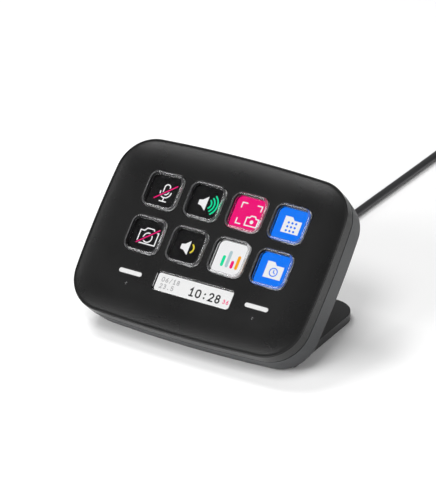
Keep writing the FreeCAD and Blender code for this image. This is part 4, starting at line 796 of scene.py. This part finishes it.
bm = bmesh.new()
inner_end, outer_end = BACK_INSIDE + FLANGE_THICK, BACK - FLANGE_THICK
profile = [(GLAND_MOUTH, inner_end), (GLAND_FLANGE - FLANGE_BEVEL, inner_end),
           (GLAND_FLANGE, inner_end - FLANGE_BEVEL), (GLAND_FLANGE, BACK_INSIDE), (GLAND_NECK, BACK_INSIDE),
           (GLAND_NECK, BACK), (GLAND_FLANGE, BACK)]
profile += [(GLAND_FLANGE - inward, outer_end + short) for inward, short in FLANGE_ROUND]
ring_step = (BOOT_LONG - FLANGE_THICK) / BOOT_RINGS
for number in range(BOOT_RINGS):
    top = outer_end - ring_step * number
    radius = BOOT_ROOT + (BOOT_TIP - BOOT_ROOT) * (number + 0.5) / BOOT_RINGS
    ring_shape = (RING_GROOVE if number else ()) + RING_BODY
    profile += [(radius - inward, top - ring_step * share) for inward, share in ring_shape]
first, last = sweep(bm, circle_outline, profile, 0, GLAND_RISE)
cover(bm, first)
cover(bm, last)
gland_rubber = finish("gland_rubber", (0.014, 0.014, 0.015), (0.021, 0.021, 0.022),
                      roughness=0.55, patch=0.008, grain=0.3, grain_size=0.0003)
cable_guard = shaped("cable_guard", bm, gland_rubber, place=HEAD)
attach(cable_guard, "housing")
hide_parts("cable_gland")

# Rear shell: a moulded tub of black plastic, a little greyer and more matt than the front. Its lip enters
# the front shell and leaves a fine groove, and its back holds four screws in round recesses, the gland and
# the foot. Posts inside carry the board.
GROOVE, LIP_TOP, LIP_OUTER, LIP_INNER = -5.2, -3.3, 2.35, 3.25
TAPER, BACK_ROUND = 0.8, 1.2
RECESS_RADIUS, RECESS_FLOOR = 2.2, -14.2
FOOT_SCREWS, FOOT_SCREW_HOLE, GLAND_ROOM = [(-24.0, -12.0), (24.0, -12.0)], 1.3, 0.1
BOARD_SCREWS = [(side_x * 33.0, side_y * 13.5 - 9.0) for side_x, side_y in CORNERS]
POST_TOP, BOARD_POST_RADIUS, BOARD_POST_TOP = -4.9, 2.3, -10.3

bm = bmesh.new()
profile = [(LIP_INNER, BACK_INSIDE), (LIP_INNER, LIP_TOP), (LIP_OUTER, LIP_TOP), (LIP_OUTER, GROOVE)]
profile += reversed(rounding(0, GROOVE, MOULD_ROUND))
profile += [(inset + TAPER, 2 * BACK - level) for inset, level in rounding(0, BACK, BACK_ROUND, steps=7)]
tub_floor, back_edge = sweep(bm, bowed_outline, profile)
back_holes = []
for x, y in SCREW_PLACES:
    top, low = sweep(bm, lambda inset: circle_outline(RECESS_RADIUS - inset),
                     soft_lip(BACK, RECESS_FLOOR, outward=-1), x, y)
    cover(bm, low)
    back_holes.append(top)
floor_holes = [post(bm, place, BOSS_RADIUS, BACK_INSIDE, POST_TOP) for place in SCREW_PLACES]
floor_holes += [post(bm, place, BOARD_POST_RADIUS, BACK_INSIDE, BOARD_POST_TOP) for place in BOARD_SCREWS]
through = [(0, GLAND_RISE, GLAND_NECK + GLAND_ROOM), *((*place, FOOT_SCREW_HOLE) for place in FOOT_SCREWS)]
for x, y, radius in through:
    top, low = sweep(bm, lambda inset: circle_outline(radius), [(0, BACK), (0, BACK_INSIDE)], x, y)
    back_holes.append(top)
    floor_holes.append(low)
cover(bm, back_edge, back_holes)
cover(bm, tub_floor, floor_holes)
tub_black = finish("tub_black", (0.012, 0.0140, 0.0165), (0.015, 0.0170, 0.0195),
                   roughness=0.42, patch=0.02, grain=0.35, grain_size=0.00045, Specular_IOR_Level=0.45)
rear_shell = shaped("rear_shell", bm, tub_black, place=HEAD)
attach(rear_shell, "housing")
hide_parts("rear_housing")

# Housing screws: four zinc-plated steel screws from behind, each with a low round head and a six-lobed
# recess. They cut their thread into the bosses of the front shell and hold the two shells together.
HEAD_RADIUS, HEAD_THICK, HEAD_ROUND = 2.0, 1.4, ((0.55, 0), (0.2, 0.12), (0, 0.4))
LOBES, LOBE_MIDDLE, LOBE_SWING, LOBE_DEEP, LOBE_TAPER = 6, 1.05, 0.14, 0.7, 0.06
SHANK_RADIUS, SHANK_TIP_RADIUS, SHANK_TOP, SCREW_SIDES = 1.1, 0.5, -2.7, 24
THREAD_PITCH, THREAD_DEEP, THREAD_ROOM = 0.9, 0.28, 0.2


def lobed_outline(inset, steps=48):
    """The six-lobed star of a driver."""
    points = []
    for step in range(steps):
        turn = 2 * math.pi * step / steps
        reach = LOBE_MIDDLE + LOBE_SWING * math.cos(LOBES * turn) - inset
        points.append((reach * math.cos(turn), reach * math.sin(turn)))
    return points


bm = bmesh.new()
head_low = RECESS_FLOOR - HEAD_THICK
profile = [(HEAD_RADIUS - inward, head_low + up) for inward, up in HEAD_ROUND]
profile.append((HEAD_RADIUS, RECESS_FLOOR))
for number in range(round((SHANK_TOP - THREAD_PITCH - RECESS_FLOOR) / THREAD_PITCH)):
    level = RECESS_FLOOR + THREAD_ROOM + number * THREAD_PITCH
    profile += [(SHANK_RADIUS - THREAD_DEEP, level), (SHANK_RADIUS, level + THREAD_PITCH / 2)]
profile.append((SHANK_TIP_RADIUS, SHANK_TOP))
for x, y in SCREW_PLACES:
    outer, tip = sweep(bm, lambda radius: circle_outline(radius, SCREW_SIDES), profile, x, y)
    cover(bm, tip)
    mouth, bottom = sweep(bm, lobed_outline, [(0, head_low), (LOBE_TAPER, head_low + LOBE_DEEP)], x, y)
    cover(bm, bottom)
    cover(bm, outer, [mouth])
case_screws = shaped("case_screws", bm, screw_zinc, place=HEAD)
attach(case_screws, "housing")
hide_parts("housing_screws")

# Foot: a black plastic plate under the keypad that bends up into a leg behind it. Two screws through the
# back wall hold the leg. Its corners are round, and its edges are softened all round.
FOOT_HALF, FOOT_REACH, FOOT_LOW, FOOT_THICK, FOOT_CORNER = 44.55, 43.7, 0.3, 3.5, 10.5
LEG_THICK, LEG_TOP, LEG_CORNER, LEG_BEND, LEG_GAP = 3.0, 3.0, 12.0, 3.0, 0.1
FOOT_SOFT, SOFT_SEGMENTS, TOE_ROUND = 0.6, 3, 3.2
BEND_STEPS, TOE_STEPS_ABOVE, TOE_STEPS_BELOW = 8, 3, 6
INNER_STATIONS, CORNER_STATIONS = [0.0, 8.0, 16.0, 24.0], 12
FOOT = Matrix.Translation((0, FACE_MIDDLE.y, 0)) @ Matrix.Scale(MM, 4)
slant = math.sqrt(0.5)
leg_level = -BACK + LEG_GAP


def corner_cut(x, radius):
    """How far a round corner draws an end back at this distance from the middle."""
    over = max(abs(x) - (FOOT_HALF - radius), 0)
    return radius - math.sqrt(max(radius**2 - over**2, 0))


def foot_section(x):
    """The foot's side view at this distance from the middle: plate, bend and leg, as one closed line."""
    high = FOOT_LOW + FOOT_THICK
    reach = FOOT_REACH - corner_cut(x, FOOT_CORNER)
    up = LEG_TOP - corner_cut(x, LEG_CORNER)
    middle = FACE_MIDDLE.z / MM
    inner = Vector(((up + leg_level) * slant, middle + (up - leg_level) * slant))
    outer = inner + Vector((slant, -slant)) * LEG_THICK
    toe = inner.x - (inner.y - high)
    heel = outer.x - (outer.y - high)
    span = LEG_BEND * math.tan(math.radians(90 - TILT / 2))
    down, up_the_leg = math.radians(-90), math.radians(-180 - TILT)
    bend = arc((heel + span, high + LEG_BEND), LEG_BEND, down, up_the_leg, BEND_STEPS)
    bend.append((heel + span * slant, high + span * slant))
    rise = TOE_ROUND * math.tan(math.radians(TILT / 2))
    start = math.radians(180 - TILT)
    upper = arc((toe + TOE_ROUND, high + rise), TOE_ROUND, start, math.pi, TOE_STEPS_ABOVE)
    end = math.radians(270)
    lower = arc((toe + TOE_ROUND, FOOT_LOW + TOE_ROUND), TOE_ROUND, math.pi, end, TOE_STEPS_BELOW)
    return [(toe + TOE_ROUND, FOOT_LOW), (reach, FOOT_LOW), (reach, high), *bend, tuple(outer), tuple(inner),
            *upper, *lower]


stations = list(INNER_STATIONS)
for radius in (FOOT_CORNER, LEG_CORNER):
    turns = [math.pi / 2 * step / CORNER_STATIONS for step in range(CORNER_STATIONS + 1)]
    stations += [FOOT_HALF - radius * (1 - math.sin(turn)) for turn in turns]
stations = sorted(set(round(x, 3) for x in stations))
stations = [-x for x in stations[:0:-1]] + stations
bm = bmesh.new()
sections = [[bm.verts.new((x, across, up)) for across, up in foot_section(x)] for x in stations]
for before, after in zip(sections, sections[1:]):
    wall(bm, before, after)
for end in (sections[0], sections[-1]):
    cover(bm, end)
foot_black = finish("foot_black", (0.026, 0.026, 0.027), (0.032, 0.032, 0.033),
                    roughness=0.38, patch=0.02, grain=0.35, grain_size=0.00045, Specular_IOR_Level=0.5)
bmesh.ops.remove_doubles(bm, verts=bm.verts, dist=HAIR)
desk_foot = shaped("desk_foot", bm, foot_black, place=FOOT, even=False)
softened = desk_foot.modifiers.new("soft_edges", "BEVEL")
softened.width = FOOT_SOFT * MM
softened.segments = SOFT_SEGMENTS
softened.limit_method = "ANGLE"
softened.angle_limit = SHARP_EDGE
desk_foot.modifiers.new("even_shading", "WEIGHTED_NORMAL")
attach(desk_foot, "housing")
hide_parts("foot")

# Foot pad: a moulded mat of soft black rubber, glued into a recess of the foot's underside. It has a raised
# border and cross ribs that grip the table.
PAD_HALF, PAD_LONG, PAD_TOP, PAD_RELIEF, PAD_CORNER = 39.55, 44.5, 1.3, 0.4, 3.4
PAD_MIDDLE_Y, PAD_BORDER, BORDER_BEVEL = 16.45, 2.2, 0.1
PAD_EDGE = [(0.25, 0), (0.07, 0.07), (0, 0.25)]
RIB_PITCH, RIB_WIDE, RIB_CORNER, RIB_ROOM, RIB_ROOT = 3.0, 1.4, 0.3, 1.0, 0.1
RIB_EDGE = [(0.05, 0.05), (0.12, 0)]


def pad_outline(inset):
    """The mat's outline, drawn in by an inset."""
    return rounded_outline(2 * (PAD_HALF - inset), PAD_LONG - 2 * inset, PAD_CORNER - inset)


def rib_outline(inset):
    """A rib's outline. It ends a little before the border."""
    half = PAD_HALF - PAD_BORDER - RIB_ROOM - inset
    return rounded_outline(2 * half, RIB_WIDE - 2 * inset, RIB_CORNER)


bm = bmesh.new()
profile = [(PAD_BORDER, PAD_RELIEF), (PAD_BORDER, BORDER_BEVEL), (PAD_BORDER - BORDER_BEVEL, 0), *PAD_EDGE,
           (0, PAD_TOP)]
low, top = sweep(bm, pad_outline, profile, 0, PAD_MIDDLE_Y)
cover(bm, low)
cover(bm, top)
span = PAD_LONG - 2 * PAD_BORDER - RIB_ROOM
ribs = int(span / RIB_PITCH) + 1
for number in range(ribs):
    y = PAD_MIDDLE_Y - span / 2 + (number + 0.5) * span / ribs
    first, last = sweep(bm, rib_outline, [(0, PAD_RELIEF + RIB_ROOT), *RIB_EDGE], 0, y)
    cover(bm, first)
    cover(bm, last)
pad_rubber = finish("pad_rubber", (0.018, 0.018, 0.018), (0.026, 0.026, 0.026),
                    roughness=0.8, patch=0.004, grain=0.4, grain_size=0.0004)
grip_mat = shaped("grip_mat", bm, pad_rubber, place=FOOT)
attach(grip_mat, "housing")
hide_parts("foot_pad")

# Table and light: a white top under the foot's rubber, and four soft lamps as in a small studio: one low
# and one high in front, one high at the left, and one at the right.
FLOOR_HALF, WORLD_LEVEL = 6.0, 0.22
floor_corners = [(side_x * FLOOR_HALF, side_y * FLOOR_HALF, 0) for side_x, side_y in CORNERS]
floor_mesh = bpy.data.meshes.new("floor")
floor_mesh.from_pydata(floor_corners, [], [(0, 1, 2, 3)])
floor = bpy.data.objects.new("floor", floor_mesh)
bpy.context.scene.collection.objects.link(floor)
table_white = finish("table_white", (1.0, 1.0, 1.0), (0.98, 0.98, 0.98),
                     roughness=0.9, patch=0.5, Specular_IOR_Level=0.0)
floor_mesh.materials.append(table_white)

world = bpy.data.worlds.new("studio")
bpy.context.scene.world = world
world.use_nodes = True
world_light = world.node_tree.nodes["Background"]
world_light.inputs["Color"].default_value = (1, 1, 1, 1)
world_light.inputs["Strength"].default_value = WORLD_LEVEL


def soft_lamp(name, place, side, watts):
    """A square lamp that looks at the middle of the face."""
    lamp = bpy.data.lights.new(name, "AREA")
    lamp.shape = "SQUARE"
    lamp.size = side
    lamp.energy = watts
    holder = bpy.data.objects.new(name, lamp)
    holder.location = place
    holder.rotation_mode = "QUATERNION"
    holder.rotation_quaternion = (FACE_MIDDLE - Vector(place)).to_track_quat("-Z", "Y")
    bpy.context.scene.collection.objects.link(holder)


soft_lamp("lamp_front", (-0.52, -1.20, 0.58), 0.7, 16)
soft_lamp("lamp_above", (-0.62, 0.10, 1.25), 0.6, 8)
soft_lamp("lamp_high", (0.15, -0.78, 1.22), 0.5, 8)
soft_lamp("lamp_right", (1.25, -0.25, 0.7), 0.5, 4)
bpy.context.scene.view_settings.view_transform = "Standard"
